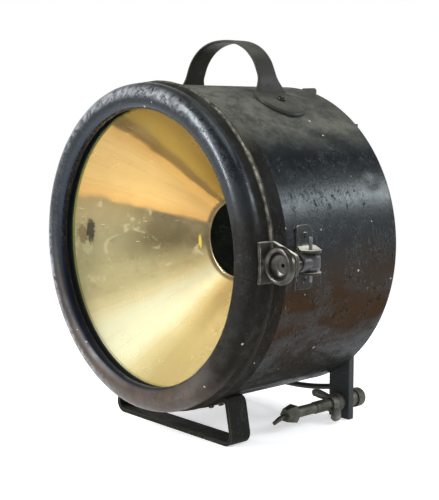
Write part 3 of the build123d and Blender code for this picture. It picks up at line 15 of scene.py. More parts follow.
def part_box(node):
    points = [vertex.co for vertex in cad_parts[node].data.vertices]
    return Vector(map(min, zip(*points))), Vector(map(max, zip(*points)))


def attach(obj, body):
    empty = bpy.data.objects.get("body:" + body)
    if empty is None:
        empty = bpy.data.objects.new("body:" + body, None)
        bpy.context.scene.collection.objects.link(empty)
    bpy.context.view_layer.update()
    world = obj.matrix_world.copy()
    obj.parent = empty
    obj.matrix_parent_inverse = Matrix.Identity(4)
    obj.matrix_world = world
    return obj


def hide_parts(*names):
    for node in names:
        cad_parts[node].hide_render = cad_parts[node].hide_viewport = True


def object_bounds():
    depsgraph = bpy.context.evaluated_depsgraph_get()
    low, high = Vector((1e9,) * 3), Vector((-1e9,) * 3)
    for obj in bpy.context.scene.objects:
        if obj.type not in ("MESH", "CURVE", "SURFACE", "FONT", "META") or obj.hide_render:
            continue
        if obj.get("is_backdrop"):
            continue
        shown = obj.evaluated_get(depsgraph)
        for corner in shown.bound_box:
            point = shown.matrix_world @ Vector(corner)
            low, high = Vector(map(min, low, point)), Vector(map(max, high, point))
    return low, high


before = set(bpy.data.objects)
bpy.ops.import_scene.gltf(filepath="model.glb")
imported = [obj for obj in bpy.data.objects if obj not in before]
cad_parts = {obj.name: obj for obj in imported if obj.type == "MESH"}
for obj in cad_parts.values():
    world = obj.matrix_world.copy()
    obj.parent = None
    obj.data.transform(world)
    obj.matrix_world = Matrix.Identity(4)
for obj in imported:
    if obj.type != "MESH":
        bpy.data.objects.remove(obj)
cad_low, cad_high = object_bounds()

# %% [markdown]
# ## Places to measure from
# Everything round on this lamp is turned about one line, the drum's axis, which runs front to
# back. Sizes along it are given as depths behind the door's front face, as a sheet metal
# worker would mark them, and one small function turns a depth into a place in the scene.

# %% The drum's axis and its depths
ring_low, ring_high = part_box("door_ring")
DOOR_FACE = ring_low.y
AXIS = Vector((0, 0, (ring_low.z + ring_high.z) / 2))
MM = 0.001


def at_depth(depth):
    """The Y of a depth in millimetres behind the door's front face."""
    return DOOR_FACE + depth * MM


print("axis height", round(AXIS.z, 4), "door face", round(DOOR_FACE, 4))

# %% [markdown]
# ## The camera
# The lamp is seen from its latch side, a little above its axis, through a long lens. A long
# lens keeps the round mouth of the drum a clean ellipse.

# %% Camera
VIEW_SPOT = (1.0184, -0.8470, 0.3935)
VIEW_TURN = 48.09
VIEW_TILT = 7.2
LENS = 76.83


def placed(name, data):
    """A new object in the scene, showing this data."""
    made = bpy.data.objects.new(name, data)
    bpy.context.scene.collection.objects.link(made)
    return made


camera_data = bpy.data.cameras.new("camera")
camera_data.lens = LENS
camera_data.sensor_width = 36
camera = placed("camera", camera_data)
camera.location = VIEW_SPOT
camera.rotation_euler = (radians(90 - VIEW_TILT), 0, radians(VIEW_TURN))
bpy.context.scene.camera = camera
bpy.context.scene.view_settings.view_transform = "Standard"
print("camera", tuple(round(v, 3) for v in camera.location), "lens", camera_data.lens)

# %% [markdown]
# ## A bench for mixing finishes
# Old enamel is never one colour. It fades, gathers dust on top and rusty grime below, chips in
# spots and wears through along its edges. Painting that by hand would tie it to one mesh, so
# each finish here is mixed from noise in the lamp's own space. Two small classes keep the node
# wiring short and readable: one for any shader tree, and one for a finish.

# %% The mixer
class Mixer:
    """Short names for the arithmetic of a shader tree. A value may be a number or an output."""

    def __init__(self, tree):
        self.tree = tree

    def put(self, socket, value):
        """Gives a socket a value, or links it to another node's output."""
        if isinstance(value, bpy.types.NodeSocket):
            self.tree.links.new(value, socket)
        elif isinstance(value, (tuple, list)) and len(value) == 3 and socket.type == "RGBA":
            socket.default_value = (*value, 1)
        else:
            socket.default_value = value

    def add(self, kind, *values, **settings):
        """A new node with its settings, and with these values in its first sockets."""
        node = self.tree.nodes.new(kind)
        for key, value in settings.items():
            setattr(node, key, value)
        for socket, value in zip(node.inputs, values):
            self.put(socket, value)
        return node

    def fill(self, node, **values):
        """Puts values in a node's sockets by name. An underscore stands for a space."""
        for name, value in values.items():
            self.put(node.inputs[name.replace("_", " ")], value)
        return node

    def math(self, how, a, b=0.0, clamp=False):
        """One step of arithmetic."""
        return self.add("ShaderNodeMath", a, b, operation=how, use_clamp=clamp).outputs[0]

    def times(self, a, b, clamp=False):
        """One value times another."""
        return self.math("MULTIPLY", a, b, clamp)

    def plus(self, a, b, clamp=False):
        """One value and another."""
        return self.math("ADD", a, b, clamp)

    def minus(self, a, b):
        """One value less another."""
        return self.math("SUBTRACT", a, b)

    def larger(self, a, b):
        """The larger of two values."""
        return self.math("MAXIMUM", a, b)

    def apart(self, a, b):
        """How far apart two values are."""
        return self.math("ABSOLUTE", self.minus(a, b))

    def rest(self, a):
        """What a value leaves of 1."""
        return self.minus(1.0, a)

    def ease(self, value, low, high, floor=0.0, top=1.0):
        """A smooth step from floor to top as the value goes from low to high."""
        values = (value, low, high, floor, top)
        return self.add("ShaderNodeMapRange", *values, interpolation_type="SMOOTHSTEP").outputs[0]

    def part_of(self, vector, which):
        """One of a vector's three numbers."""
        return self.add("ShaderNodeSeparateXYZ", vector).outputs[which]

    def blended(self, amount, one, other):
        """One shader that gives way to another."""
        return self.add("ShaderNodeMixShader", amount, one.outputs[0], other.outputs[0]).outputs[0]

    def seen_or_mirrored(self):
        """1 for rays from the eye and for rays off gloss or through glass, 0 for plain light."""
        rays = self.add("ShaderNodeLightPath").outputs
        either = self.larger(rays["Is Camera Ray"], rays["Is Glossy Ray"])
        return self.larger(either, rays["Is Transmission Ray"])


print("mixer ready")

# %% The finish
class Finish(Mixer):
    """One procedural finish, built up round a single Principled shader."""

    def __init__(self, name):
        self.material = bpy.data.materials.new(name)
        self.material.use_nodes = True
        super().__init__(self.material.node_tree)
        self.shader = self.tree.nodes["Principled BSDF"]
        where = self.add("ShaderNodeTexCoord").outputs
        self.place = where["Object"]
        self.facing = where["Normal"]
        self.x, self.y, self.z = self.add("ShaderNodeSeparateXYZ", self.place).outputs

    def mix(self, amount, one, other, how="MIX"):
        """One colour laid over another."""
        node = self.add("ShaderNodeMix", data_type="RGBA", blend_type=how)
        self.put(node.inputs["Factor"], amount)
        self.put(node.inputs[6], one)
        self.put(node.inputs[7], other)
        return node.outputs[2]

    def stretched(self, stretch):
        """The lamp's space, squeezed so that a pattern runs along one direction."""
        if not stretch:
            return self.place
        return self.fill(self.add("ShaderNodeMapping"), Vector=self.place, Scale=stretch).outputs[0]

    def cloud(self, size, detail=4.0, rough=0.6, stretch=None, warp=0.0):
        """Soft random patches about this many metres across, from 0 to 1."""
        node = self.fill(self.add("ShaderNodeTexNoise"), Vector=self.stretched(stretch), Scale=1 / size)
        return self.fill(node, Detail=detail, Roughness=rough, Distortion=warp).outputs["Fac"]

    def spots(self, size, ragged):
        """Scattered points about this far apart, with edges that are ragged by so many metres."""
        shake = self.fill(self.add("ShaderNodeTexNoise"), Vector=self.place, Scale=2.5 / ragged)
        values = (shake.outputs["Color"], (ragged, ragged, ragged), self.place)
        where = self.add("ShaderNodeVectorMath", *values, operation="MULTIPLY_ADD").outputs[0]
        node = self.add("ShaderNodeTexVoronoi", feature="F1")
        return self.fill(node, Vector=where, Scale=1 / size)

    def hollow(self, reach):
        """How open the surface is to the air around it: 1 in the open, 0 deep in a corner."""
        node = self.add("ShaderNodeAmbientOcclusion", samples=6)
        return self.fill(node, Distance=reach).outputs["AO"]

    def sharp_edges(self, reach, gain=3.0):
        """1 where the surface turns a corner within reach, 0 on flat or gently curved sheet."""
        bevel = self.fill(self.add("ShaderNodeBevel", samples=6), Radius=reach).outputs[0]
        plain = self.add("ShaderNodeNewGeometry").outputs["Normal"]
        dot = self.add("ShaderNodeVectorMath", bevel, plain, operation="DOT_PRODUCT")
        return self.times(self.rest(dot.outputs["Value"]), gain, True)

    def relief(self, height, depth, strength=1.0, under=None):
        """A bump of about this depth in metres, on top of any other bump."""
        node = self.fill(self.add("ShaderNodeBump"), Strength=strength, Distance=depth, Height=height)
        if under is not None:
            self.put(node.inputs["Normal"], under)
        return node.outputs[0]

    def finish(self, colour, roughness, bump=None, **uniform):
        """Plugs the mixed colour, roughness and bump into the shader."""
        self.fill(self.shader, Base_Color=colour, Roughness=roughness, **uniform)
        if bump is not None:
            self.put(self.shader.inputs["Normal"], bump)
        return self.material


print("finish ready")

# %% [markdown]
# ## The studio
# The lamp stands on a plain pale floor that fades to white a little way out. The world is white
# to the eye and to anything glossy, greyer overhead, and a faintly blue daylight as a lamp. One
# tall soft light in front does the shaping, with a small one at the side and a weak one above,
# because this lamp is mostly dark enamel, and dark enamel only shows what it mirrors.

# %% World
DAYLIGHT = (0.93, 0.96, 1.0)
WHITE = (1, 1, 1)
CEILING_GREY = 0.22
world = bpy.data.worlds.new("studio")
world.use_nodes = True
world.node_tree.nodes.clear()
sky = Mixer(world.node_tree)
overhead = sky.part_of(sky.add("ShaderNodeTexCoord").outputs["Generated"], "Z")
ceiling = sky.ease(overhead, 0.30, 0.62, 1.0, CEILING_GREY)
as_light = sky.fill(sky.add("ShaderNodeBackground"), Color=DAYLIGHT, Strength=1.0)
as_backdrop = sky.fill(sky.add("ShaderNodeBackground"), Color=WHITE, Strength=ceiling)
sky.add("ShaderNodeOutputWorld", sky.blended(sky.seen_or_mirrored(), as_light, as_backdrop))
bpy.context.scene.world = world
print("world:", world.name)

# %% Floor
FLOOR_HALF = 12
FLOOR_DROP = 0.0005
FLOOR_PAINT = (0.88, 0.88, 0.88)
FADE_START = 0.45
FADE_END = 1.3
corners = [(-FLOOR_HALF, -FLOOR_HALF, 0), (FLOOR_HALF, -FLOOR_HALF, 0)]
corners += [(FLOOR_HALF, FLOOR_HALF, 0), (-FLOOR_HALF, FLOOR_HALF, 0)]
floor_mesh = bpy.data.meshes.new("floor")
floor_mesh.from_pydata(corners, [], [(0, 1, 2, 3)])
floor = placed("floor", floor_mesh)
floor.location.z = -FLOOR_DROP
floor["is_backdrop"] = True
tiles = Finish("pale_floor")
glow = tiles.ease(tiles.seen_or_mirrored(), 0, 1, 0.04, 0.50)
tiles.finish(FLOOR_PAINT, 0.9, Specular_IOR_Level=0.1, Emission_Color=WHITE, Emission_Strength=glow)
far_glow = tiles.ease(tiles.seen_or_mirrored(), 0, 1, 0.9, 1.0)
far_floor = tiles.fill(tiles.add("ShaderNodeEmission"), Strength=far_glow)
span = tiles.add("ShaderNodeVectorMath", tiles.place, operation="LENGTH").outputs["Value"]
fade = tiles.ease(span, FADE_START, FADE_END)
surface = tiles.tree.nodes["Material Output"].inputs["Surface"]
tiles.put(surface, tiles.blended(fade, tiles.shader, far_floor))
floor_mesh.materials.append(tiles.material)
print("floor:", floor.name)

# %% Lights
def soft_light(name, spot, aim, size, power, tint):
    """A rectangular soft box at a spot, turned towards what it lights."""
    data = bpy.data.lights.new(name, "AREA")
    data.shape = "RECTANGLE"
    data.size, data.size_y = size
    data.energy = power
    data.color = tint
    lamp = placed(name, data)
    lamp.location = spot
    lamp.rotation_euler = (Vector(aim) - Vector(spot)).to_track_quat("-Z", "Y").to_euler()
    return lamp


# Each light: its name, its place, what it faces, its size, its watts and its colour
soft_light("tall_window", (-1.0, -2.1, 1.35), AXIS, (0.36, 2.2), 90, (1.0, 0.98, 0.95))
soft_light("side_window", (1.09, 1.28, 0.86), AXIS, (0.6, 0.20), 9, (0.93, 0.97, 1.0))
soft_light("top", (0.6, 0.5, 2.2), AXIS, (1.2, 1.2), 10, (0.95, 0.98, 1.0))

# %% [markdown]
# ## Old enamel
# New, this was one coat of glossy enamel on pressed steel. Since then it has faded in patches,
# gone brown towards the ground, partly with grime and partly as a painted reflection of a brown
# floor, gathered dust, been scuffed and scratched, and chipped to its primer. A painted image
# wrapped round each piece could show that, but every piece would need its own, and would blur
# from close by. So one recipe serves every enamelled piece, from the glossy door ring to the
# dusty drum, with a number for each kind of wear. It's laid on in the order that the years did
# it, one layer to a cell, and each layer hands on its colour and a mask of where it lies. Where
# one piece is worn, rusty or dusty in a way of its own, or has painted shade, highlights and
# reflections of its own, a mask for that piece is handed in.

# %% Paint, grime, rust and pocks, the brown partly a painted floor reflection
# Brown towards the ground: partly grime, partly a painted reflection of a brown floor.
GRIME_AND_REFLECTION = (0.040, 0.021, 0.009)
# Darker and greyer towards the very bottom of each piece.
BELLY_DARK = (0.017, 0.0155, 0.0125)
RUST_AND_REFLECTION = (0.046, 0.025, 0.011)
PIT = (0.004, 0.005, 0.005)
GRIME_AND_REFLECTION_TOP = 0.28
GRIME_AND_REFLECTION_FULL = 0.16
BELLY_DARK_TOP = 0.168
BELLY_DARK_FULL = 0.08


def grimed_and_mirrored(f, paint, grime_and_reflection, rust_and_reflection, pits):
    """Faded paint under a brown that thickens towards the ground, partly dirt and partly a painted
    reflection of a brown floor, and darker still at the very bottom. Gives colour, that brown and
    pocks.
    """
    faded = tuple(c * 1.6 + 0.002 for c in paint)
    colour = f.mix(f.ease(f.broad, 0.4, 0.75), paint, faded)
    low_down = f.ease(f.z, GRIME_AND_REFLECTION_TOP, GRIME_AND_REFLECTION_FULL)
    patchy = f.ease(f.cloud(0.07, 6, 0.65, (1, 0.45, 1), 0.6), 0.36, 0.58, 0.35)
    dirt = f.times(f.times(low_down, patchy), grime_and_reflection, True)
    belly = f.ease(f.z, BELLY_DARK_TOP, BELLY_DARK_FULL)
    colour = f.mix(dirt, colour, f.mix(belly, GRIME_AND_REFLECTION, BELLY_DARK))
    if rust_and_reflection:
        # Brown at the ring's bottom: partly rust, partly a painted reflection of a brown floor.
        colour = f.mix(f.times(rust_and_reflection(f), f.ease(f.fine, 0.30, 0.60, 0.45)), colour, RUST_AND_REFLECTION)
    pocked = f.ease(f.cloud(0.0052, 4, 0.75, (1, 1, 0.6)), 0.545, 0.60)
    pocked = f.times(pocked, f.ease(f.cloud(0.030, 3), 0.46, 0.58, 0.0, pits))
    return f.mix(f.times(pocked, 0.6), colour, PIT), dirt, pocked


print("grime thickens from", GRIME_AND_REFLECTION_TOP, "down to", GRIME_AND_REFLECTION_FULL, "metres above the floor")

# %% Dust on what faces up, in the nooks and in films, one of them partly painted shade and reflection
DUST = (0.115, 0.114, 0.094)
EARTH_AND_SHADE = (0.0098, 0.0086, 0.0066)


def darker(colour, share):
    """A colour with only this share of its light."""
    return tuple(c * share for c in colour)


def dusted(f, colour, dust, powder, veil):
    """Dust that has settled or been trapped, over a brown film, which on the ring is partly painted
    shade and reflection. Gives colour, dust and film.
    """
    upward = f.ease(f.up_there, 0.56, 0.80)
    settled = f.ease(f.cloud(0.030, 8, 0.75, (1, 0.6, 1)), 0.34, 0.60, 0.30)
    dusty = f.times(f.times(upward, settled), dust * 1.3, True)
    nook = f.rest(f.hollow(0.007))
    nook = f.times(f.ease(nook, 0.25, 0.70), f.ease(f.fine, 0.35, 0.65, 0.0, dust))
    dusty = f.larger(dusty, nook)
    film = None
    if veil:
        film = f.times(veil(f), f.ease(f.fine, 0.30, 0.60, 0.7))
        # On the ring this brown film is partly painted shade and painted reflection.
        colour = f.mix(film, colour, EARTH_AND_SHADE)
        dusty = f.larger(dusty, f.times(film, 0.06))
    shades = f.mix(f.ease(f.fine, 0.40, 0.65, 0.0, 0.6), powder, darker(powder, 0.55))
    shades = f.mix(f.ease(f.broad, 0.42, 0.62, 0.0, 0.45), shades, EARTH_AND_SHADE)
    return f.mix(dusty, colour, shades), dusty, film


print("dust", DUST, "and its darker shade", darker(DUST, 0.55))

# %% Scuffs, painted shade, chalky painted highlights and hairline scratches
SCUFF = (0.060, 0.074, 0.076)
SCRAPE = (0.16, 0.18, 0.18)
NAVY_SHADE = (0.0016, 0.0048, 0.0150)
CHALK_HIGHLIGHT = (0.225, 0.236, 0.250)


def scuffed(f, colour, scuffs, shade, chalk_highlight):
    """Grey scuffs, the painted shade and the chalky painted highlight handed in, and hair-thin
    scratches. Gives colour and scuffs.
    """
    rubs = f.times(f.ease(f.cloud(0.03, 4), 0.45, 0.70), f.ease(f.grain, 0.50, 0.64), True)
    colour = f.mix(f.times(rubs, scuffs), colour, SCUFF)
    if shade:
        # Painted shade: navy laid where a recess is handed in.
        colour = f.mix(shade(f), colour, NAVY_SHADE)
    # A chalky pale colour: partly worn paint, partly a painted highlight.
    if chalk_highlight:
        highlight_streaks = f.ease(f.cloud(0.009, 6, 0.75, None, 0.8), 0.36, 0.64)
        colour = f.mix(f.times(chalk_highlight(f), highlight_streaks), colour, CHALK_HIGHLIGHT)
    hair = f.cloud(0.010, 2, 0.5, (0.12, 1.6, 0.5), 1.2)
    hair = f.ease(f.apart(hair, 0.5), 0.009, 0.0, 0.0, 0.9 * scuffs)
    hair = f.times(hair, f.ease(f.cloud(0.045, 3), 0.42, 0.62))
    return f.mix(hair, colour, SCRAPE), rubs


print("scuffs", SCUFF, "scratches", SCRAPE)

# %% Chips and worn edges, down to the primer, paler on edges that face up as a painted highlight
PRIMER = (0.42, 0.39, 0.30)


def chipped(f, colour, chips, edge, reach, worn_and_lit):
    """Pale chips in spots and edges worn through to primer, more on edges that face up, which is
    partly a painted highlight. Gives colour and bare places.
    """
    field = f.spots(0.018, 0.0025)
    chance = f.part_of(field.outputs["Color"], "X")
    span = f.ease(chance, 1.0 - 0.7 * chips, 1.0, 0.0, 0.085)
    chip = f.ease(f.minus(field.outputs["Distance"], span), 0.012, -0.004)
    rubbed_and_lit = f.times(f.sharp_edges(reach), f.ease(f.fine, 0.30, 0.55))
    # Edges that face up wear more: partly wear, partly a painted highlight.
    rubbed_and_lit = f.times(rubbed_and_lit, f.ease(f.up_there, -0.6, 0.5, edge * 0.2, edge), True)
    bare = f.larger(chip, rubbed_and_lit)
    # On the ring's crest this is partly wear, partly a painted highlight.
    if worn_and_lit:
        bare = f.larger(bare, f.times(worn_and_lit(f), f.ease(f.fine, 0.34, 0.56)))
    tone = f.mix(f.ease(f.broad, 0.45, 0.6), PRIMER, darker(PRIMER, 0.6))
    return f.mix(bare, colour, tone), bare


print("primer", PRIMER)

# %% The enamel recipe
def enamel(name, paint, gloss, grime_and_reflection=0.7, dust=0.6, chips=0.5, edge=0.6, reach=0.0012,
           scuffs=0.4, worn_and_lit=None, veil=None, shade=None, chalk_highlight=None, rust_and_reflection=None, powder=DUST,
           pits=0.5, sheen=0.20, cast=(0.86, 0.97, 1.0)):
    """Worn enamel. gloss is its roughness, reach is how far wear goes from an edge in metres, cast
    tints its shine, the five masks after scuffs are for single pieces, and some of them paint
    shade, highlights and reflections; the rest run from 0 to 1."""
    f = Finish(name)
    f.broad = f.cloud(0.11, 3)
    f.fine = f.cloud(0.013, 6, 0.7)
    f.grain = f.cloud(0.0022, 3, 0.6)
    f.up_there = f.part_of(f.facing, "Z")
    colour, dirt, pocked = grimed_and_mirrored(f, paint, grime_and_reflection, rust_and_reflection, pits)
    colour, dusty, film = dusted(f, colour, dust, powder, veil)
    colour, rubs = scuffed(f, colour, scuffs, shade, chalk_highlight)
    colour, bare = chipped(f, colour, chips, edge, reach, worn_and_lit)

    # Shine, and the feel of the surface
    rough = f.plus(f.times(f.fine, 0.22), gloss - 0.11)
    rough = f.plus(rough, f.times(f.plus(dusty, dirt), 0.3))
    rough = f.plus(rough, f.times(f.plus(rubs, pocked), 0.35), True)
    dull = f.larger(dusty, dirt)
    if film is not None:
        rough = f.plus(rough, f.times(film, 0.4), True)
        dull = f.larger(dull, film)
    height = f.plus(f.fine, f.times(f.grain, 0.35))
    skin = f.relief(f.minus(height, f.times(pocked, 0.15)), 0.0005, 0.35)
    skin = f.relief(f.rest(bare), 0.0003, 0.5, skin)
    return f.finish(colour, rough, skin, Specular_Tint=(*cast, 1),
                    Specular_IOR_Level=f.ease(dull, 0.0, 1.0, sheen, sheen * 0.1))


print("enamel recipe ready")

# %% Masks for single pieces
BEAD_CROWN = 0.1895
CREST_FOOT = 0.2001
CREST_TOP = 0.2016


def from_axis(f):
    """How far a place is from the drum's axis, in metres."""
    up = f.minus(f.z, AXIS.z)
    return f.math("SQRT", f.plus(f.times(f.x, f.x), f.times(up, up)))


def crest_wear_and_highlight(f):
    """1 on the raised crest of the door ring, in patches, mostly above the axis, where paint wears
    off first and where a pale painted highlight lies.
    """
    patch = f.times(f.ease(f.z, 0.20, 0.27, 0.06), f.ease(f.z, 0.44, 0.37, 0.25))
    mottle = f.ease(f.cloud(0.0060, 5, 0.7), 0.30, 0.66, 0.15)
    on_crest = f.ease(from_axis(f), CREST_FOOT, CREST_TOP, 0.0, 0.8)
    return f.times(f.times(on_crest, patch), mottle)


def low_rust_and_reflection(f):
    """1 round the lowest part of the ring, painted brown there: partly rusted from standing in the
    wet, partly a painted reflection of a brown floor.
    """
    ragged = f.times(f.minus(f.cloud(0.03, 5, 0.65), 0.5), 0.10)
    return f.ease(f.plus(f.z, ragged), 0.170, 0.075)


def skirt_film_and_shade(f):
    """1 on the ring's skirt, where the brown film is partly dust and partly a painted reflection, and
    on the latch side of its bead, where it is painted shade.
    """
    skirt = f.ease(f.y, at_depth(15), at_depth(23))
    latch_side = f.times(f.ease(f.x, 0.09, 0.16), f.ease(f.z, 0.34, 0.25))
    return f.larger(skirt, latch_side)


def crown_highlight(f):
    """1 along the bead's crown, most at the top and low on the left, where a chalky pale colour is
    painted: partly for hands on the paint, partly as a painted highlight.
    """
    crown = f.ease(f.apart(from_axis(f), BEAD_CROWN), 0.0095, 0.0020)
    low_left = f.times(f.ease(f.z, 0.30, 0.19), f.ease(f.x, -0.02, -0.12))
    where = f.larger(f.ease(f.z, 0.30, 0.41, 0.10, 1.0), low_left)
    where = f.times(where, f.ease(f.x, 0.13, 0.04, 0.25, 1.0))
    return f.times(f.times(crown, where), f.ease(f.y, at_depth(9), at_depth(6)))


def inner_wall_shade(f):
    """1 on the wall between the ring's bead and the glass, a recess painted dark blue as shade."""
    return f.times(f.ease(from_axis(f), 0.1740, 0.1712), f.ease(f.y, at_depth(2), at_depth(6)))


def whole_film(f):
    """An even film of brown dust, thin in patches."""
    return f.ease(f.cloud(0.05, 4), 0.30, 0.60, 0.45, 0.95)


print("masks ready")

# %% Enamels
SLATE = (0.0026, 0.0043, 0.0060)
CREAM = (0.90, 0.86, 0.70)
# The ring: a painted highlight along its bead, a crest worn and partly painted as a highlight, painted
# shade on its inner wall, and a brown film on its skirt and latch side that is partly painted shade and
# reflection.
ring_enamel = enamel("ring_enamel", SLATE, 0.25, grime_and_reflection=0.5, dust=0.15, chips=0.35, edge=0.35,
                     scuffs=0.18, worn_and_lit=crest_wear_and_highlight, veil=skirt_film_and_shade, shade=inner_wall_shade,
                     chalk_highlight=crown_highlight, rust_and_reflection=low_rust_and_reflection, sheen=0.45, cast=(0.78, 0.88, 1.0))
lug_enamel = enamel("lug_enamel", (0.014, 0.014, 0.012), 0.42, grime_and_reflection=0.5, dust=0.9, chips=0.3,
                    edge=1.0, reach=0.0032, powder=CREAM)
# The drum's brown towards the ground is partly grime and partly a painted reflection of a brown floor.
drum_enamel = enamel("drum_enamel", SLATE, 0.29, grime_and_reflection=1.0, dust=0.95, chips=0.45, edge=0.5,
                     pits=1.0, scuffs=0.65)
band_enamel = enamel("band_enamel", SLATE, 0.45, grime_and_reflection=0.9, dust=0.95, chips=0.35, edge=0.3,
                     veil=whole_film)
strap_enamel = enamel("strap_enamel", (0.025, 0.023, 0.019), 0.42, grime_and_reflection=0.3, dust=0.5, chips=0.2,
                      edge=0.6, reach=0.002)
fitting_enamel = enamel("fitting_enamel", (0.009, 0.011, 0.011), 0.42, grime_and_reflection=0.5, dust=1.0,
                        chips=0.3, edge=0.8, reach=0.0014, powder=CREAM)
stirrup_enamel = enamel("stirrup_enamel", (0.0062, 0.0056, 0.0040), 0.50, grime_and_reflection=0.2, dust=0.15,
                        chips=0.3, edge=0.3, sheen=0.10)
leg_enamel = enamel("leg_enamel", (0.027, 0.029, 0.029), 0.48, grime_and_reflection=0.1, dust=0.4, chips=0.2,
                    edge=0.3)
# Nearly black navy: painted shade for the unlit inside of the drum and round the glass.
inner_shade_enamel = enamel("inner_shade_enamel", (0.003, 0.007, 0.016), 0.45, grime_and_reflection=0.0, dust=0.1, chips=0.0,
                      edge=0.1, scuffs=0.0)
print("enamels:", [m.name for m in bpy.data.materials if m.name.endswith("enamel")])

# %% [markdown]
# ## Bare metal
# The clamp bolts, wing nuts, rivets and the thumbscrew are bare or thinly plated steel that
# has gone olive grey. The usual way is a shader that is all metal, but old steel under a skin
# of tarnish is only partly a mirror, so here each metal also says how metallic it still is.
# One short recipe makes them all, with darker tarnish and pits, and brighter edges where
# fingers and spanners have rubbed. Only the colours and the amounts differ.

# %% The metal recipe
EDGE_REACH = 0.0008


def metal(name, colour, gloss, tarnish, bright, pits=0.5, metallic=0.85):
    """Aged metal: its clean colour, its roughness, what dulls it, and how its edges shine."""
    f = Finish(name)
    broad = f.cloud(0.018, 4, 0.6)
    fine = f.cloud(0.0035, 5, 0.7)
    mixed = f.mix(f.ease(broad, 0.35, 0.65), colour, tarnish)
    pit = f.ease(fine, 0.62, 0.75, 0.0, pits)
    mixed = f.mix(pit, mixed, darker(tarnish, 0.35))
    rub = f.times(f.sharp_edges(EDGE_REACH), f.ease(fine, 0.3, 0.6))
    mixed = f.mix(rub, mixed, bright)
    rough = f.plus(f.times(broad, 0.25), gloss - 0.1, True)
    rough = f.plus(rough, f.times(pit, 0.3), True)
    skin = f.relief(f.minus(fine, f.times(pit, 0.5)), 0.0004, 0.4)
    return f.finish(mixed, rough, skin, Metallic=metallic)


clamp_metal = metal("clamp_metal", (0.088, 0.086, 0.070), 0.52,
                    (0.048, 0.046, 0.030), (0.22, 0.21, 0.16), metallic=0.6)
wing_metal = metal("wing_metal", (0.140, 0.134, 0.115), 0.52,
                   (0.085, 0.079, 0.064), (0.26, 0.25, 0.21), pits=0.4, metallic=0.5)
# The latch pin's pale teal is partly a painted highlight.
pin_glint_metal = metal("pin_glint_metal", (0.17, 0.195, 0.19), 0.30,
                  (0.05, 0.05, 0.045), (0.50, 0.55, 0.53), pits=0.4, metallic=0.8)
rivet_metal = metal("rivet_metal", (0.045, 0.047, 0.050), 0.26,
                    (0.016, 0.014, 0.012), (0.12, 0.12, 0.11), pits=0.3)
thumb_metal = metal("thumb_metal", (0.070, 0.068, 0.060), 0.28,
                    (0.024, 0.023, 0.020), (0.15, 0.145, 0.12), pits=0.55)
nut_metal = metal("nut_metal", (0.060, 0.057, 0.064), 0.36,
                  (0.040, 0.037, 0.040), (0.13, 0.125, 0.12), pits=0.2, metallic=0.5)
dark_metal = metal("dark_metal", (0.042, 0.046, 0.042), 0.45,
                   (0.034, 0.032, 0.026), (0.22, 0.21, 0.18))
nickel = metal("nickel", (0.42, 0.41, 0.38), 0.28,
               (0.22, 0.20, 0.16), (0.6, 0.58, 0.54), pits=0.3, metallic=1.0)
lamp_brass = metal("lamp_brass", (0.42, 0.27, 0.09), 0.35,
                   (0.16, 0.10, 0.04), (0.7, 0.5, 0.2), pits=0.3, metallic=1.0)
print("metals:", [m.name for m in bpy.data.materials if m.name.endswith(("metal", "nickel", "brass"))])

# %% [markdown]
# ## Rubber, fibre and glass
# Small pieces, but each has its own feel: chalky rubber, black moulded fibre with a dull
# sheen, and glass. The glass could bend light as the real thing does, but a thin flat pane
# bends it too little to see, and bent light comes out grainy. So the pane is mostly see-through
# and gains its reflection where it is seen at a slant, with a little dust on it.

# %% Rubber and fibre
def dull_black(name, colour, gloss, grain_size):
    """Rubber or moulded fibre: dark, with a pale bloom and a fine grain."""
    f = Finish(name)
    bloom = f.ease(f.cloud(0.02, 4), 0.4, 0.75, 0.0, 0.5)
    mixed = f.mix(bloom, colour, tuple(c * 2.4 + 0.01 for c in colour))
    grain = f.cloud(grain_size, 4, 0.7)
    rough = f.plus(f.times(grain, 0.2), gloss - 0.1, True)
    return f.finish(mixed, rough, f.relief(grain, 0.0004, 0.4))


rubber = dull_black("rubber", (0.013, 0.013, 0.012), 0.8, 0.002)
fibre = dull_black("fibre", (0.012, 0.010, 0.009), 0.35, 0.004)
print("soft:", rubber.name, fibre.name)

# %% Glass
def clear_glass(name, tint, least, dirt):
    """A pane you look through: see-through face on, mirror-like at a slant, and dusty."""
    f = Finish(name)
    slant = f.fill(f.add("ShaderNodeLayerWeight"), Blend=0.12)
    dusty = f.ease(f.cloud(0.03, 6, 0.7), 0.5, 0.8, 0.0, dirt)
    seen = f.plus(f.times(slant.outputs["Fresnel"], 0.55), least)
    seen = f.plus(seen, dusty, True)
    rough = f.ease(dusty, 0.0, 0.2, 0.02, 0.25)
    return f.finish(tint, rough, None, Alpha=seen, IOR=1.5, Specular_IOR_Level=0.5)


pane = clear_glass("pane", (0.10, 0.13, 0.10), 0.004, 0.02)
bulb_glass = clear_glass("bulb_glass", (0.8, 0.82, 0.8), 0.10, 0.05)
print("clear:", pane.name, bulb_glass.name)

# %% [markdown]
# ## Spun and rolled sheet
# The door ring, the drum, its front band and the reflector are all round sheet metal. The CAD
# meshes of them are cut into flats, which shows in gloss, so each is turned again here from
# the same outline in many fine steps. An outline is a list of (radius, depth) in millimetres.
# A shape function may then push the sheet in a little, for the dents of use.

# %% Outlines
def arc(middle, reach, start, end, steps=12):
    """Points along a rounded corner, from one angle to another in degrees."""
    turn = [radians(start + (end - start) * i / steps) for i in range(steps + 1)]
    return [(middle[0] + reach * cos(a), middle[1] + reach * sin(a)) for a in turn]


def thickened(path, thickness):
    """A sheet's outline: a path, and the same path one thickness to its left, coming back."""
    back = []
    for i, (r, d) in enumerate(path):
        before, after = path[max(i - 1, 0)], path[min(i + 1, len(path) - 1)]
        along = Vector((after[0] - before[0], after[1] - before[1])).normalized()
        back.append((r - along.y * thickness, d + along.x * thickness))
    return path + back[::-1]


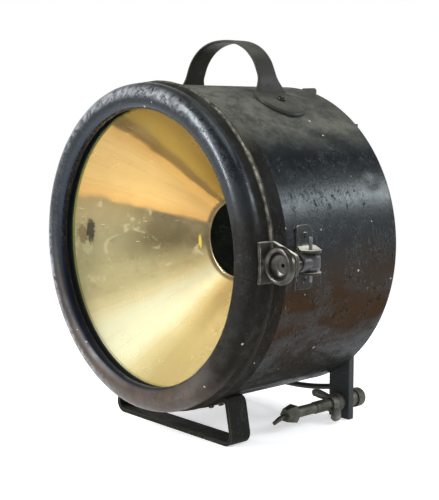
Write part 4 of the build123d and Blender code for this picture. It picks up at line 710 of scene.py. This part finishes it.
def subdivided(path, longest):
    """The same path with extra points on its long straights."""
    fine = [path[0]]
    for a, b in zip(path, path[1:]):
        r, d = b[0] - a[0], b[1] - a[1]
        count = max(1, round(sqrt(r ** 2 + d ** 2) / longest))
        fine += [(a[0] + r * i / count, a[1] + d * i / count) for i in range(1, count + 1)]
    return fine


print("a quarter round in", len(arc((0, 0), 1, 0, 90)), "points")

# %% Turning an outline
def quads(rows, sides, closed=False):
    """Four-cornered faces between rows of points, each row a loop of so many points."""
    faces = []
    for i in range(rows if closed else rows - 1):
        here, next_row = i * sides, (i + 1) % rows * sides
        for k in range(sides):
            m = (k + 1) % sides
            faces.append((here + k, here + m, next_row + m, next_row + k))
    return faces


def closed_mesh(name, verts, faces):
    """A mesh of closed shells, with every face turned outwards."""
    mesh = bpy.data.meshes.new(name)
    mesh.from_pydata(verts, [], faces)
    work = bmesh.new()
    work.from_mesh(mesh)
    bmesh.ops.recalc_face_normals(work, faces=work.faces)
    work.to_mesh(mesh)
    work.free()
    return mesh


def smooth_shaded(mesh):
    """Shades a mesh as one curved skin."""
    mesh.polygons.foreach_set("use_smooth", [True] * len(mesh.polygons))


def turned(name, outline, steps=288, shape=None, corner=35):
    """A closed piece turned about the drum's axis from a closed outline."""
    verts = []
    for i in range(steps):
        a = 2 * pi * i / steps
        for radius, depth in outline:
            if shape:
                radius, depth = shape(a, radius, depth)
            verts.append((radius * MM * cos(a), at_depth(depth), AXIS.z + radius * MM * sin(a)))
    mesh = closed_mesh(name, verts, quads(steps, len(outline), closed=True))
    smooth_shaded(mesh)
    mesh.set_sharp_from_angle(angle=radians(corner))
    return placed(name, mesh)


def stands_for(piece, nodes, body, slot, *finishes):
    """Puts a new piece in place of CAD nodes, on their body, with its finishes."""
    for finish in finishes:
        piece.data.materials.append(finish)
    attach(piece, body)
    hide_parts(*nodes)
    print(piece.name, len(piece.data.polygons), "faces, for", ", ".join(nodes))
    return piece


def wander(a, radius, depth, size, seed):
    """Smooth random height at a place on the sheet, from about -1 to 1."""
    here = Vector((radius * cos(a), depth, radius * sin(a))) / size
    return noise.noise(here + Vector((seed, 0, 0)))


print("turning tools ready")

# %% [markdown]
# ## The door ring
# The ring is one piece of pressed sheet: a fat glossy bead round the glass, a short skirt, and
# a raised crest at its rear edge, which is where hands and knocks have dented it most. A torus
# and a cylinder would be quicker, but they would meet in a seam that pressed sheet doesn't
# have. So it's turned from one outline that follows the CAD ring, with a thickness like the
# real sheet's, and the crest is left a little wavy.

# %% Door ring
BEAD = 200.0
LIP = 169.0
RING_SHEET = 1.6
ROUND_STEPS = 360
lip_path = [(178.2, 15.0)] + arc((LIP + 3, 12.0), 3.0, 90, 180, 8)
crown_path = [(BEAD - 14 - 17 * cos(pi * i / 28), 8.0 - 8.0 * sin(pi * i / 28)) for i in range(15)]
bead_path = arc((BEAD - 15, 15.0), 15.0, 270, 360, 20)
flare_path = [(199.2, 19.0), (198.7, 22.5), (198.9, 26.0)]
flare_path += [(199.7, 29.0), (201.0, 31.2), (202.2, 32.4)]
crest_path = arc((201.9, 33.2), 0.7, -50, 70, 5) + [(201.2, 34.6), (200.7, 36.2), (200.6, 38.0)]
ring_path = lip_path + crown_path + bead_path[2:] + flare_path + crest_path
ring_outline = thickened(subdivided(ring_path, 4.0), RING_SHEET)


def ring_wear(a, radius, depth):
    """Shallow knocks all round, deepest on the crest. They only ever push the sheet in."""
    knock = max(0, wander(a, radius, depth, 34, 3)) * 0.5
    if depth > 29 and radius > 199.5:
        knock += max(0, wander(a, radius, depth, 13, 8)) * 0.8
    return radius - knock, depth


ring = turned("door_ring_skin", ring_outline, ROUND_STEPS, ring_wear)
stands_for(ring, ["door_ring"], "front_door", "ring_paint", ring_enamel)

# %% [markdown]
# ## The drum
# The drum is rolled sheet with a plain rear edge, rounded over a little. It is dusty and
# oil-canned: wide, shallow waves that only show in the way its sheen bends. A bump in its
# finish could fake them, but not where the drum's outline is seen against the light, so the
# sheet itself is pushed in. Its inner wall gets a second finish, a navy so dark that it is
# painted shade for the unlit inside of the drum.

# %% Drum and front band
DRUM = 198.2
DRUM_SHEET = 2
DRUM_START = 39.0
DRUM_END = 250.0
DRUM_EDGE = 1.2
drum_outline = subdivided([(DRUM - DRUM_SHEET, DRUM_START), (DRUM, DRUM_START)], 1.0)
drum_outline += subdivided([(DRUM, DRUM_START), (DRUM, DRUM_END - DRUM_EDGE)], 6.0)[1:]
drum_outline += arc((DRUM - DRUM_EDGE, DRUM_END - DRUM_EDGE), DRUM_EDGE, 0, 90, 5)[1:]
drum_outline += subdivided([(DRUM - DRUM_SHEET, DRUM_END), (DRUM - DRUM_SHEET, DRUM_START)], 10.0)[:-1]

# Each dent: its angle in degrees, its depth along the drum, its width and how far it is pushed in
DENTS = ((52, 205, 30, 1.6), (24, 222, 16, 0.9), (-6, 190, 26, 1.0))
DENTS += ((-38, 150, 30, 1.3), (140, 120, 34, 1.4))


def drum_wear(a, radius, depth):
    """Broad waves and a few round dents, both only inwards and fading at the drum's ends."""
    ends = min(1.0, (depth - DRUM_START) / 30, (DRUM_END - depth) / 14)
    push = max(0.0, wander(a, radius, depth, 70, 5) + 0.2) * 0.45
    for angle, place, width, sink in DENTS:
        away = (a - radians(angle) + pi) % (2 * pi) - pi
        gap = sqrt((away * DRUM) ** 2 + (depth - place) ** 2) / width
        if gap < 1:
            push += sink * (1 - gap * gap) ** 2
    return radius - push * max(0.0, ends), depth


drum = turned("drum_skin", drum_outline, ROUND_STEPS, drum_wear)
stands_for(drum, ["drum_shell"], "housing", "drum_paint", drum_enamel, inner_shade_enamel)
for face in drum.data.polygons:
    out = Vector((face.center.x, 0, face.center.z - AXIS.z)).normalized()
    face.material_index = 1 if face.normal.dot(out) < -0.5 else 0

BAND = DRUM + 0.7
BAND_END = DRUM_START + 20.5
band_outline = [(DRUM, DRUM_START), (BAND, DRUM_START)]
band_outline += [(BAND, BAND_END - 0.5), (BAND - 0.4, BAND_END), (DRUM, BAND_END)]
band = turned("front_band_skin", subdivided(band_outline, 4.0), ROUND_STEPS)
stands_for(band, ["front_band"], "housing", "drum_paint", band_enamel)

# %% [markdown]
# ## The reflector
# The reflector is what the eye goes to first: a deep spun cone of brass, lacquered gold. Its
# wall bulges a little, and ends in a narrow collar round the hole for the lamp. A plain cone
# would mirror the room in straight bands. Spun metal never does, so the bulge and a slight
# unevenness are in the sheet itself, where gloss shows them best.

# %% Reflector sheet
BRIM = (188.0, 26.0)
MOUTH = (171.5, 26.0)
COLLAR = (52.5, 162.0)
THROAT = (49.0, 164.0)
BULGE = 5.0
MIRROR_SHEET = 1.2
WALL_STEPS = 40
inward, back = MOUTH[0] - COLLAR[0], COLLAR[1] - MOUTH[1]
slope = sqrt(inward ** 2 + back ** 2)
wall = []
for i in range(WALL_STEPS + 1):
    t = i / WALL_STEPS
    bow = 4 * t * (1 - t) * BULGE / slope
    wall.append((MOUTH[0] - inward * t + back * bow, MOUTH[1] + back * t + inward * bow))
throat = subdivided([COLLAR, (51.6, 163.0), (50.4, 163.8), THROAT], 1.0)
mirror_path = subdivided([BRIM, (173.0, 26.0)], 4.0) + wall + throat[1:]
mirror_outline = thickened(mirror_path, -MIRROR_SHEET)


def mirror_wear(a, radius, depth):
    """The slight unevenness of hand-spun sheet, none at the brim where it's clipped down."""
    hold = min(1.0, max(0.0, (depth - 30) / 20), max(0.0, (160 - depth) / 10))
    wave = wander(a, radius, depth, 60, 11) * 0.35
    wave += wander(a, radius * 0.4, depth * 0.4, 14, 17) * 0.10
    return radius - abs(wave) * hold, depth


mirror = turned("reflector_skin", mirror_outline, 384, mirror_wear, 50)
print("reflector outline:", len(mirror_outline), "points")

# %% [markdown]
# ## The reflector's finish
# A cone mirrors its surroundings as wedges that run in to the hole, so the room it mirrors is
# painted into its colour as wedges: an orange one, a dull green one and a bright cream one below,
# all painted reflection, with painted shade deep towards the hole. Over them come wiping marks
# and clouds, then specks and scratches that run with the wedges, then nicks and stains, with
# painted glints on the nicks and at the throat. Each mark is placed by its angle round the cone
# and by its distance from the axis.

# %% The wedges, a painted reflection
def from_chart(red, green_edge_reflection, blue):
    """A colour as a paint chart gives it, 0 to 255, turned into the shader's own scale."""
    return tuple(((c / 255 + 0.055) / 1.055) ** 2.4 for c in (red, green_edge_reflection, blue))


# Each stop: its angle in degrees round the cone, and its colour, which is painted reflection
REFLECTION_WEDGES = (
    (-180, (166, 140, 72)), (-112, (124, 103, 54)), (-96, (150, 124, 60)), (-82, (182, 150, 70)),
    (-74, (192, 160, 76)), (-70.5, (176, 146, 72)), (-68.5, (150, 120, 66)), (-62.5, (142, 112, 64)),
    (-60.5, (238, 190, 110)), (-50, (253, 211, 136)), (-30, (246, 205, 126)), (-22, (238, 188, 106)),
    (-19.5, (170, 146, 94)), (-2, (180, 170, 124)), (14, (182, 172, 124)), (27, (205, 193, 142)),
    (37, (244, 231, 178)), (46, (254, 253, 214)), (62, (255, 253, 212)), (73, (236, 222, 166)),
    (85, (208, 188, 128)), (112, (176, 156, 104)), (150, (172, 148, 84)), (180, (170, 144, 74)),
)
f = Finish("gold_mirror")
up = f.minus(f.z, AXIS.z)
angle = f.math("ARCTAN2", f.times(up, -1), f.times(f.x, -1))
reach = from_axis(f)
sway = f.times(f.minus(f.cloud(0.05, 2), 0.5), 0.026)
turn = f.plus(f.times(angle, 1 / (2 * pi)), f.plus(sway, 0.5))
ramp = f.add("ShaderNodeValToRGB", turn)
for degrees_round, tint in REFLECTION_WEDGES[1:-1]:
    ramp.color_ramp.elements.new(degrees_round / 360 + 0.5)
for stop, (degrees_round, tint) in zip(ramp.color_ramp.elements, REFLECTION_WEDGES):
    stop.color = (*from_chart(*tint), 1)
gold_and_reflection = ramp.outputs["Color"]
print("wedges:", len(ramp.color_ramp.elements), "colours")

# %% Wiping marks and clouds
polar = f.add("ShaderNodeCombineXYZ", f.times(angle, 0.35), reach).outputs[0]


def run_in(kind, size, stretch):
    """A pattern drawn out towards the hole, like wiping marks."""
    squeezed = f.fill(f.add("ShaderNodeMapping"), Vector=polar, Scale=stretch).outputs[0]
    return f.fill(f.add(kind), Vector=squeezed, Scale=1 / size)


def tinted(gold_and_reflection, amount, *chart):
    """The brass colour with its painted reflections, and a paint chart's colour laid over it."""
    return f.mix(amount, gold_and_reflection, from_chart(*chart))


# Where the orange painted reflection lies, and the dull left of the cone.
orange_reflection = f.times(f.ease(angle, -1.10, -1.02), f.ease(angle, -0.30, -0.40))
left = f.times(f.ease(angle, -0.36, -0.30), f.ease(angle, 0.65, 0.35))
wiped = f.fill(run_in("ShaderNodeTexNoise", 0.05, (4, 0.8, 1)), Detail=5).outputs["Fac"]
gold_and_reflection = tinted(gold_and_reflection, f.ease(wiped, 0.48, 0.75, 0.0, 0.12), 140, 110, 58)
cloudy = f.cloud(0.04, 5, 0.6)
# Painted shade: darker deep in the cone on its left, towards the hole.
deep_shade = f.times(f.ease(reach, 0.150, 0.102, 0.0, 0.9), f.ease(angle, 0.40, 0.05))
deep_shade = f.times(f.times(deep_shade, left), f.ease(cloudy, 0.30, 0.55, 0.55))
gold_and_reflection = tinted(gold_and_reflection, deep_shade, 106, 94, 58)
# Painted shade: darker all round towards the hole.
gold_and_reflection = f.mix(f.ease(reach, 0.125, 0.065, 0.0, 0.85), gold_and_reflection, (0.72, 0.66, 0.58), "MULTIPLY")
gold_and_reflection = tinted(gold_and_reflection, f.ease(f.cloud(0.05, 4), 0.55, 0.8, 0.0, 0.22), 240, 214, 150)
curls = f.ease(f.apart(f.cloud(0.052, 1, 0.4, None, 1.1), 0.5), 0.045, 0.005)
curls = f.times(f.times(curls, left), f.ease(f.cloud(0.022, 3), 0.48, 0.60))
gold_and_reflection = tinted(gold_and_reflection, f.times(curls, 0.55), 222, 212, 164)
blotches = f.times(f.ease(f.cloud(0.016, 7, 0.75), 0.48, 0.68, 0.0, 0.35), left)
gold_and_reflection = tinted(gold_and_reflection, blotches, 140, 126, 84)
print("nodes so far:", len(f.tree.nodes))

# %% Specks and fine scratches, most of them in the orange wedge
pin = f.spots(0.011, 0.002)
chance = f.part_of(pin.outputs["Color"], "Y")
speck = f.times(f.ease(pin.outputs["Distance"], 0.13, 0.05), f.ease(chance, 0.80, 0.92))
gold_and_reflection = tinted(gold_and_reflection, f.times(speck, 0.75), 104, 72, 36)
lines = f.fill(run_in("ShaderNodeTexNoise", 0.016, (11, 0.22, 1)), Detail=1.5).outputs["Fac"]
hairline = f.ease(f.apart(lines, 0.55), 0.006, 0.0)
hairline = f.times(hairline, f.plus(f.times(orange_reflection, 0.9), 0.06))
gold_and_reflection = tinted(gold_and_reflection, f.times(hairline, 0.8), 140, 88, 38)
print("nodes so far:", len(f.tree.nodes))

# %% Nicks with painted glints on the left, a dark stain by the brim with a pale mark under it, and a painted glint at the throat
def blot(middle, size, ragged):
    """A ragged blot on the cone. middle and size are (radians, metres from the axis)."""
    along = f.math("DIVIDE", f.minus(angle, middle[0]), size[0])
    inward = f.math("DIVIDE", f.minus(reach, middle[1]), size[1])
    gap = f.plus(f.times(along, along), f.times(inward, inward))
    edge = f.times(f.minus(f.cloud(0.005, 5, 0.7), 0.5), ragged)
    return f.ease(f.plus(gap, edge), 1.25, 0.45)


# The nicks are dents, painted bright as glints.
nicks = run_in("ShaderNodeTexVoronoi", 0.019, (2.2, 1.0, 1))
nicks_and_glints = f.ease(f.part_of(nicks.outputs["Color"], "X"), 0.58, 0.66)
nicks_and_glints = f.times(nicks_and_glints, f.ease(nicks.outputs["Distance"], 0.15, 0.07))
nicks_and_glints = f.times(f.times(nicks_and_glints, left), f.ease(f.cloud(0.004, 2), 0.42, 0.52))
gold_and_reflection = tinted(gold_and_reflection, nicks_and_glints, 255, 248, 200)
pale = blot((0.09, 0.1600), (0.060, 0.0045), 1.6)
gold_and_reflection = tinted(gold_and_reflection, f.times(pale, 0.5), 206, 204, 158)
speckled = blot((-0.020, 0.1635), (0.085, 0.0042), 5.5)
gold_and_reflection = tinted(gold_and_reflection, f.times(speckled, 0.7), 122, 92, 52)
stain = blot((-0.045, 0.1575), (0.110, 0.0036), 3.4)
gold_and_reflection = tinted(gold_and_reflection, f.times(stain, 0.9), 66, 58, 46)
# A painted glint on the rolled edge of the hole.
throat_glint = blot((0.12, 0.0600), (0.16, 0.0016), 0.8)
gold_and_reflection = tinted(gold_and_reflection, throat_glint, 236, 206, 84)
print("nodes so far:", len(f.tree.nodes))

# %% A green line at the brim, a painted reflection at the glass's edge, a brown ring at the throat, and the shine
green_edge_reflection = f.times(f.ease(angle, -1.5, -1.2, 0.25), f.ease(angle, 1.0, 0.0, 0.35))
gold_and_reflection = tinted(gold_and_reflection, f.times(f.ease(reach, 0.1695, 0.1702), green_edge_reflection), 118, 122, 36)
gold_and_reflection = tinted(gold_and_reflection, f.ease(reach, 0.0560, 0.0530, 0.0, 0.9), 104, 90, 58)
rough = f.plus(f.times(cloudy, 0.12), 0.20)
rough = f.plus(rough, f.times(f.plus(stain, speck), 0.4), True)
skin = f.relief(f.cloud(0.03, 3), 0.0012, 0.2)
skin = f.relief(f.rest(f.plus(hairline, nicks_and_glints)), 0.0002, 0.4, skin)
gold_mirror = f.finish(gold_and_reflection, rough, skin, Metallic=0.35)
stands_for(mirror, ["reflector"], "housing", "brass_mirror", gold_mirror)

# %% [markdown]
# ## The carrying handle
# The handle is a steel strap forged out at each end into a round foot that is riveted to the
# drum. A CAD strap has crisp seams where strap and foot meet, but a forging flows. So the
# strap and both feet are made as plain overlapping closed pieces, fused by a voxel remesh,
# and smoothed, which leaves a fillet at each root as a hammer and die would.

# %% Bars along a curve
def bent(points, spacing):
    """A smooth curve through a few points, as many points about this far apart."""
    points = [Vector(p) for p in points]
    guard = [2 * points[0] - points[1]] + points + [2 * points[-1] - points[-2]]
    path = []
    for a, b, c, d in zip(guard, guard[1:], guard[2:], guard[3:]):
        count = max(1, round((c - b).length / spacing))
        for i in range(count):
            t = i / count
            spot = 2 * b + (c - a) * t + (2 * a - 5 * b + 4 * c - d) * t**2
            path.append(0.5 * (spot + (3 * b - a - 3 * c + d) * t**3))
    return path + [points[-1]]


def swept(path, flat, widths, thicknesses, corner=0.35, sides=20):
    """Verts and faces of a bar along a path. flat is the direction that its width runs in."""
    verts = []
    for i, spot in enumerate(path):
        ahead = (path[min(i + 1, len(path) - 1)] - path[max(i - 1, 0)]).normalized()
        wide = (flat - ahead * flat.dot(ahead)).normalized()
        thick = ahead.cross(wide)
        for k in range(sides):
            c, s = cos(2 * pi * k / sides), sin(2 * pi * k / sides)
            out = abs(c) ** corner * (1 if c > 0 else -1) * widths[i] / 2
            rise = abs(s) ** corner * (1 if s > 0 else -1) * thicknesses[i] / 2
            verts.append(spot + wide * out + thick * rise)
    faces = quads(len(path), sides)
    faces.append(tuple(range(sides))[::-1])
    faces.append(tuple((len(path) - 1) * sides + k for k in range(sides)))
    return verts, faces


def tapering(count, ends, middle, run):
    """A size along a path that goes from ends to middle over so many steps, and back."""
    ease_in = [min(1.0, i / run, (count - 1 - i) / run) for i in range(count)]
    return [ends + (middle - ends) * (3 * t * t - 2 * t**3) for t in ease_in]


print("a taper over four steps:", [round(size, 2) for size in tapering(9, 2, 1, 4)])

# %% Fusing and smoothing
def forged(name, shells, voxel, rounds):
    """Fuses closed shells into one skin at a voxel size, and smooths it so many rounds."""
    verts, faces = [], []
    for some_verts, some_faces in shells:
        faces += [tuple(i + len(verts) for i in face) for face in some_faces]
        verts += some_verts
    piece = placed(name, closed_mesh(name, verts, faces))
    fuse = piece.modifiers.new("fuse", "REMESH")
    fuse.mode = "VOXEL"
    fuse.voxel_size = voxel
    soften = piece.modifiers.new("soften", "SMOOTH")
    soften.factor = 0.5
    soften.iterations = rounds
    evaluated = piece.evaluated_get(bpy.context.evaluated_depsgraph_get())
    made = bpy.data.meshes.new_from_object(evaluated)
    piece.modifiers.clear()
    piece.data = made
    made.name = name
    smooth_shaded(made)
    return piece


print("forging tools ready")

# %% Handle
handle_low, handle_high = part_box("handle")
HANDLE_Y = (handle_low.y + handle_high.y) / 2
FOOT_TURN = radians(62.6)
FOOT_MIDDLE = 4.1
FOOT_SINK = 0.05
FOOT_PROFILE = [(33.0, FOOT_SINK), (33.0, 2.4), (32.0, 4.2), (29.5, 5.2), (25.5, 5.3), (19.0, 4.6)]
STRAP_WIDTH = 0.0315
STRAP_THICKNESS = 0.0036
ROOT_WIDTH = 0.060
ROOT_THICKNESS = 0.008
PATH_STEP = 0.0015
HANDLE_VOXEL = 0.0008
top_z = handle_high.z - STRAP_THICKNESS / 2
half_arch = [(0, 0), (23, 2.3), (43, 10.6), (58, 24.5), (67, 42), (72.5, 58), (77.5, 70), (81, 74)]
arch = [(-x * MM, HANDLE_Y, top_z - drop * MM) for x, drop in half_arch[:0:-1]]
arch += [(x * MM, HANDLE_Y, top_z - drop * MM) for x, drop in half_arch]
strap_path = bent(arch, PATH_STEP)
widths = tapering(len(strap_path), ROOT_WIDTH, STRAP_WIDTH, 24)
thicknesses = tapering(len(strap_path), ROOT_THICKNESS, STRAP_THICKNESS, 9)
shells = [swept(strap_path, Vector((0, 1, 0)), widths, thicknesses, 0.3)]


def pressed_foot(turn, sides=72):
    """A thick round foot with a broad shoulder, bent to lie on the drum."""
    def on_drum(radius, around, height):
        angle = turn + radius * cos(around) / DRUM
        out = (DRUM + height) * MM
        y = HANDLE_Y + radius * MM * sin(around)
        return Vector((out * cos(angle), y, AXIS.z + out * sin(angle)))

    rings = [(r, FOOT_SINK) for r in (8.0, 16.0, 24.0)] + FOOT_PROFILE
    rings += [(12.0, 4.2), (5.0, FOOT_MIDDLE)]
    verts = [on_drum(r, 2 * pi * k / sides, h) for r, h in rings for k in range(sides)]
    under, over = len(verts), len(verts) + 1
    verts += [on_drum(0, 0, FOOT_SINK), on_drum(0, 0, FOOT_MIDDLE)]
    faces = quads(len(rings), sides)
    last = (len(rings) - 1) * sides
    for k in range(sides):
        m = (k + 1) % sides
        faces += [(under, m, k), (over, last + k, last + m)]
    return verts, faces


shells += [pressed_foot(FOOT_TURN), pressed_foot(pi - FOOT_TURN)]
handle = forged("handle_skin", shells, HANDLE_VOXEL, 10)
stands_for(handle, ["handle"], "housing", "worn_olive", strap_enamel)

# %% [markdown]
# ## Wing nuts and tails
# A wing nut's ears lean forward off its hub, like a bird's, and end in round lobes for the
# thumb. It's a casting, so nothing on it meets in a hard line. The thin tail past each cone
# nut is a rod hammered a little flat and bent down. Both could be sculpted, but a sculpted
# shape can't be measured or changed by a number, so they are made the same way as the handle,
# from a hub or a rod and a few swept bars.

# %% Wing nuts
def tube(bottom, top, inner, outer, sides=48):
    """Verts and faces of a ring between two points on its axis."""
    along = (top - bottom).normalized()
    one = along.orthogonal().normalized()
    two = along.cross(one)
    verts = []
    for spot, radius in ((bottom, inner), (bottom, outer), (top, outer), (top, inner)):
        for k in range(sides):
            a = 2 * pi * k / sides
            verts.append(spot + (one * cos(a) + two * sin(a)) * radius)
    return verts, quads(4, sides, closed=True)


HUB = 10.2 * MM
HUB_LENGTH = 19.5
BORE = 8.2 * MM
FLANGE = HUB + 1.6 * MM
FLANGE_LENGTH = 5
EAR_LEAN = radians(143)
EAR_THICKNESS = 7.6
EAR_LINE = ((6.5, 10.5), (11.5, 13.8), (16.5, 18.8), (20.6, 24.4), (22.4, 29.4))
EAR_WIDTHS = (10.5, 11.5, 13.5, 14.0, 9.5)
FINE_STEP = 0.0008
FINE_VOXEL = 0.0005
for side, name in ((1, "right"), (-1, "left")):
    low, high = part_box(f"wing_nut_{name}")
    centre = Vector(((low.x + high.x) / 2, high.y, (low.z + high.z) / 2))
    forward = Vector((0, -1, 0))
    outward = Vector((side * cos(EAR_LEAN), 0, sin(EAR_LEAN)))
    nut_shells = [tube(centre, centre + forward * HUB_LENGTH * MM, BORE, HUB)]
    nut_shells.append(tube(centre, centre + forward * FLANGE_LENGTH * MM, BORE, FLANGE))
    for way in (1, -1):
        ear = [centre + outward * way * r * MM + forward * y * MM for r, y in EAR_LINE]
        line = bent(ear, FINE_STEP)
        stepped = [EAR_WIDTHS[int(i * 5 / len(line))] * MM for i in range(len(line))]
        near = [stepped[max(i - 3, 0):i + 4] for i in range(len(line))]
        breadth = [sum(some) / len(some) for some in near]
        nut_shells.append(swept(line, forward, breadth, [EAR_THICKNESS * MM] * len(line), 0.8))
    nut = forged(f"wing_nut_{name}_skin", nut_shells, FINE_VOXEL, 5)
    stands_for(nut, [f"wing_nut_{name}"], f"clamp_wing_{name}", "wing_steel", wing_metal)

# %% Clamp tails
tail_low, tail_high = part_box("clamp_tails")
TAIL = 2.9 * MM
tail_shells = []
for side in (1, -1):
    out = side * (tail_high.x - TAIL)
    root = Vector((out, tail_high.y, tail_high.z - TAIL))
    tip = Vector((out, tail_low.y + 0.4 * TAIL, tail_low.z + 2.8 * MM))
    knee = root.lerp(tip, 0.35) + Vector((0, 0, 0.0006))
    line = bent([root + Vector((0, 0.002, 0)), knee, tip], FINE_STEP)
    bulge = [sin(pi * min(1, i / len(line) * 1.05)) ** 2 for i in range(len(line))]
    swell = [TAIL * (1.55 + 0.45 * b) for b in bulge]
    tail_shells.append(swept(line, Vector((1, 0, 0)), [w * 1.2 for w in swell], swell, 0.9))
tails = forged("clamp_tails_skin", tail_shells, FINE_VOXEL, 4)
stands_for(tails, ["clamp_tails"], "housing", "clamp_steel", clamp_metal)

# %% [markdown]
# ## Finishes for the CAD pieces that stay
# The brackets, bolts, rivets and legs are flat, or so small that their CAD shape is already
# right, and making them again would add nothing. So everything else keeps its CAD shape and
# only takes a finish. The table below says which, and the last line names any piece that it
# misses.

# %% Finish every kept piece
FINISHES = {
    lug_enamel: ["door_lug"],
    drum_enamel: ["back_plate", "hatch_plate"],
    # The seat ring and retainer take the same painted shade.
    inner_shade_enamel: ["seat_ring", "glass_retainer"],
    fitting_enamel: ["latch_bracket", "latch_rivets", "hinge_door_leaf", "hinge_drum_leaf"],
    stirrup_enamel: ["front_stirrup"],
    leg_enamel: ["rear_leg_right", "rear_leg_left", "hatch_brackets", "hatch_leaves"],
    rivet_metal: ["handle_rivets", "stirrup_rivets", "hinge_rivets", "clip_screws"],
    dark_metal: ["leg_bolts", "leg_nuts", "leg_brace", "bush_screws", "hinge_pin", "hatch_pins"],
    pin_glint_metal: ["latch_pin"],
    clamp_metal: ["clamp_bolts", "clamp_washers", "clamp_spacers", "cone_nuts"],
    thumb_metal: ["thumb_screw", "screw_collar", "split_pin"],
    nut_metal: ["latch_nut"],
    nickel: ["lamp_tube", "reflector_clips"],
    lamp_brass: ["bulb_cap", "focus_bush"],
    fibre: ["lamp_holder", "tube_end_cap", "cable_gland", "focus_screw", "hatch_knob"],
    rubber: ["glass_gasket", "door_seal"],
    pane: ["front_glass"],
    bulb_glass: ["lamp_bulb"],
}
dressed = {"door_ring", "drum_shell", "front_band", "reflector", "handle", "clamp_tails"}
dressed |= {"wing_nut_right", "wing_nut_left"}
for finish, names in FINISHES.items():
    for name in names:
        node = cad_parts[name]
        for slot in node.material_slots:
            slot.material = finish
        dressed.add(name)
print("not dressed:", sorted(set(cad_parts) - dressed))

# %% Boxes, and finish
look_low, look_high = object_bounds()
boxes = {"cad": [list(cad_low), list(cad_high)], "visual": [list(look_low), list(look_high)]}
for name, pair in boxes.items():
    print(name, [[round(v, 4) for v in corner] for corner in pair])
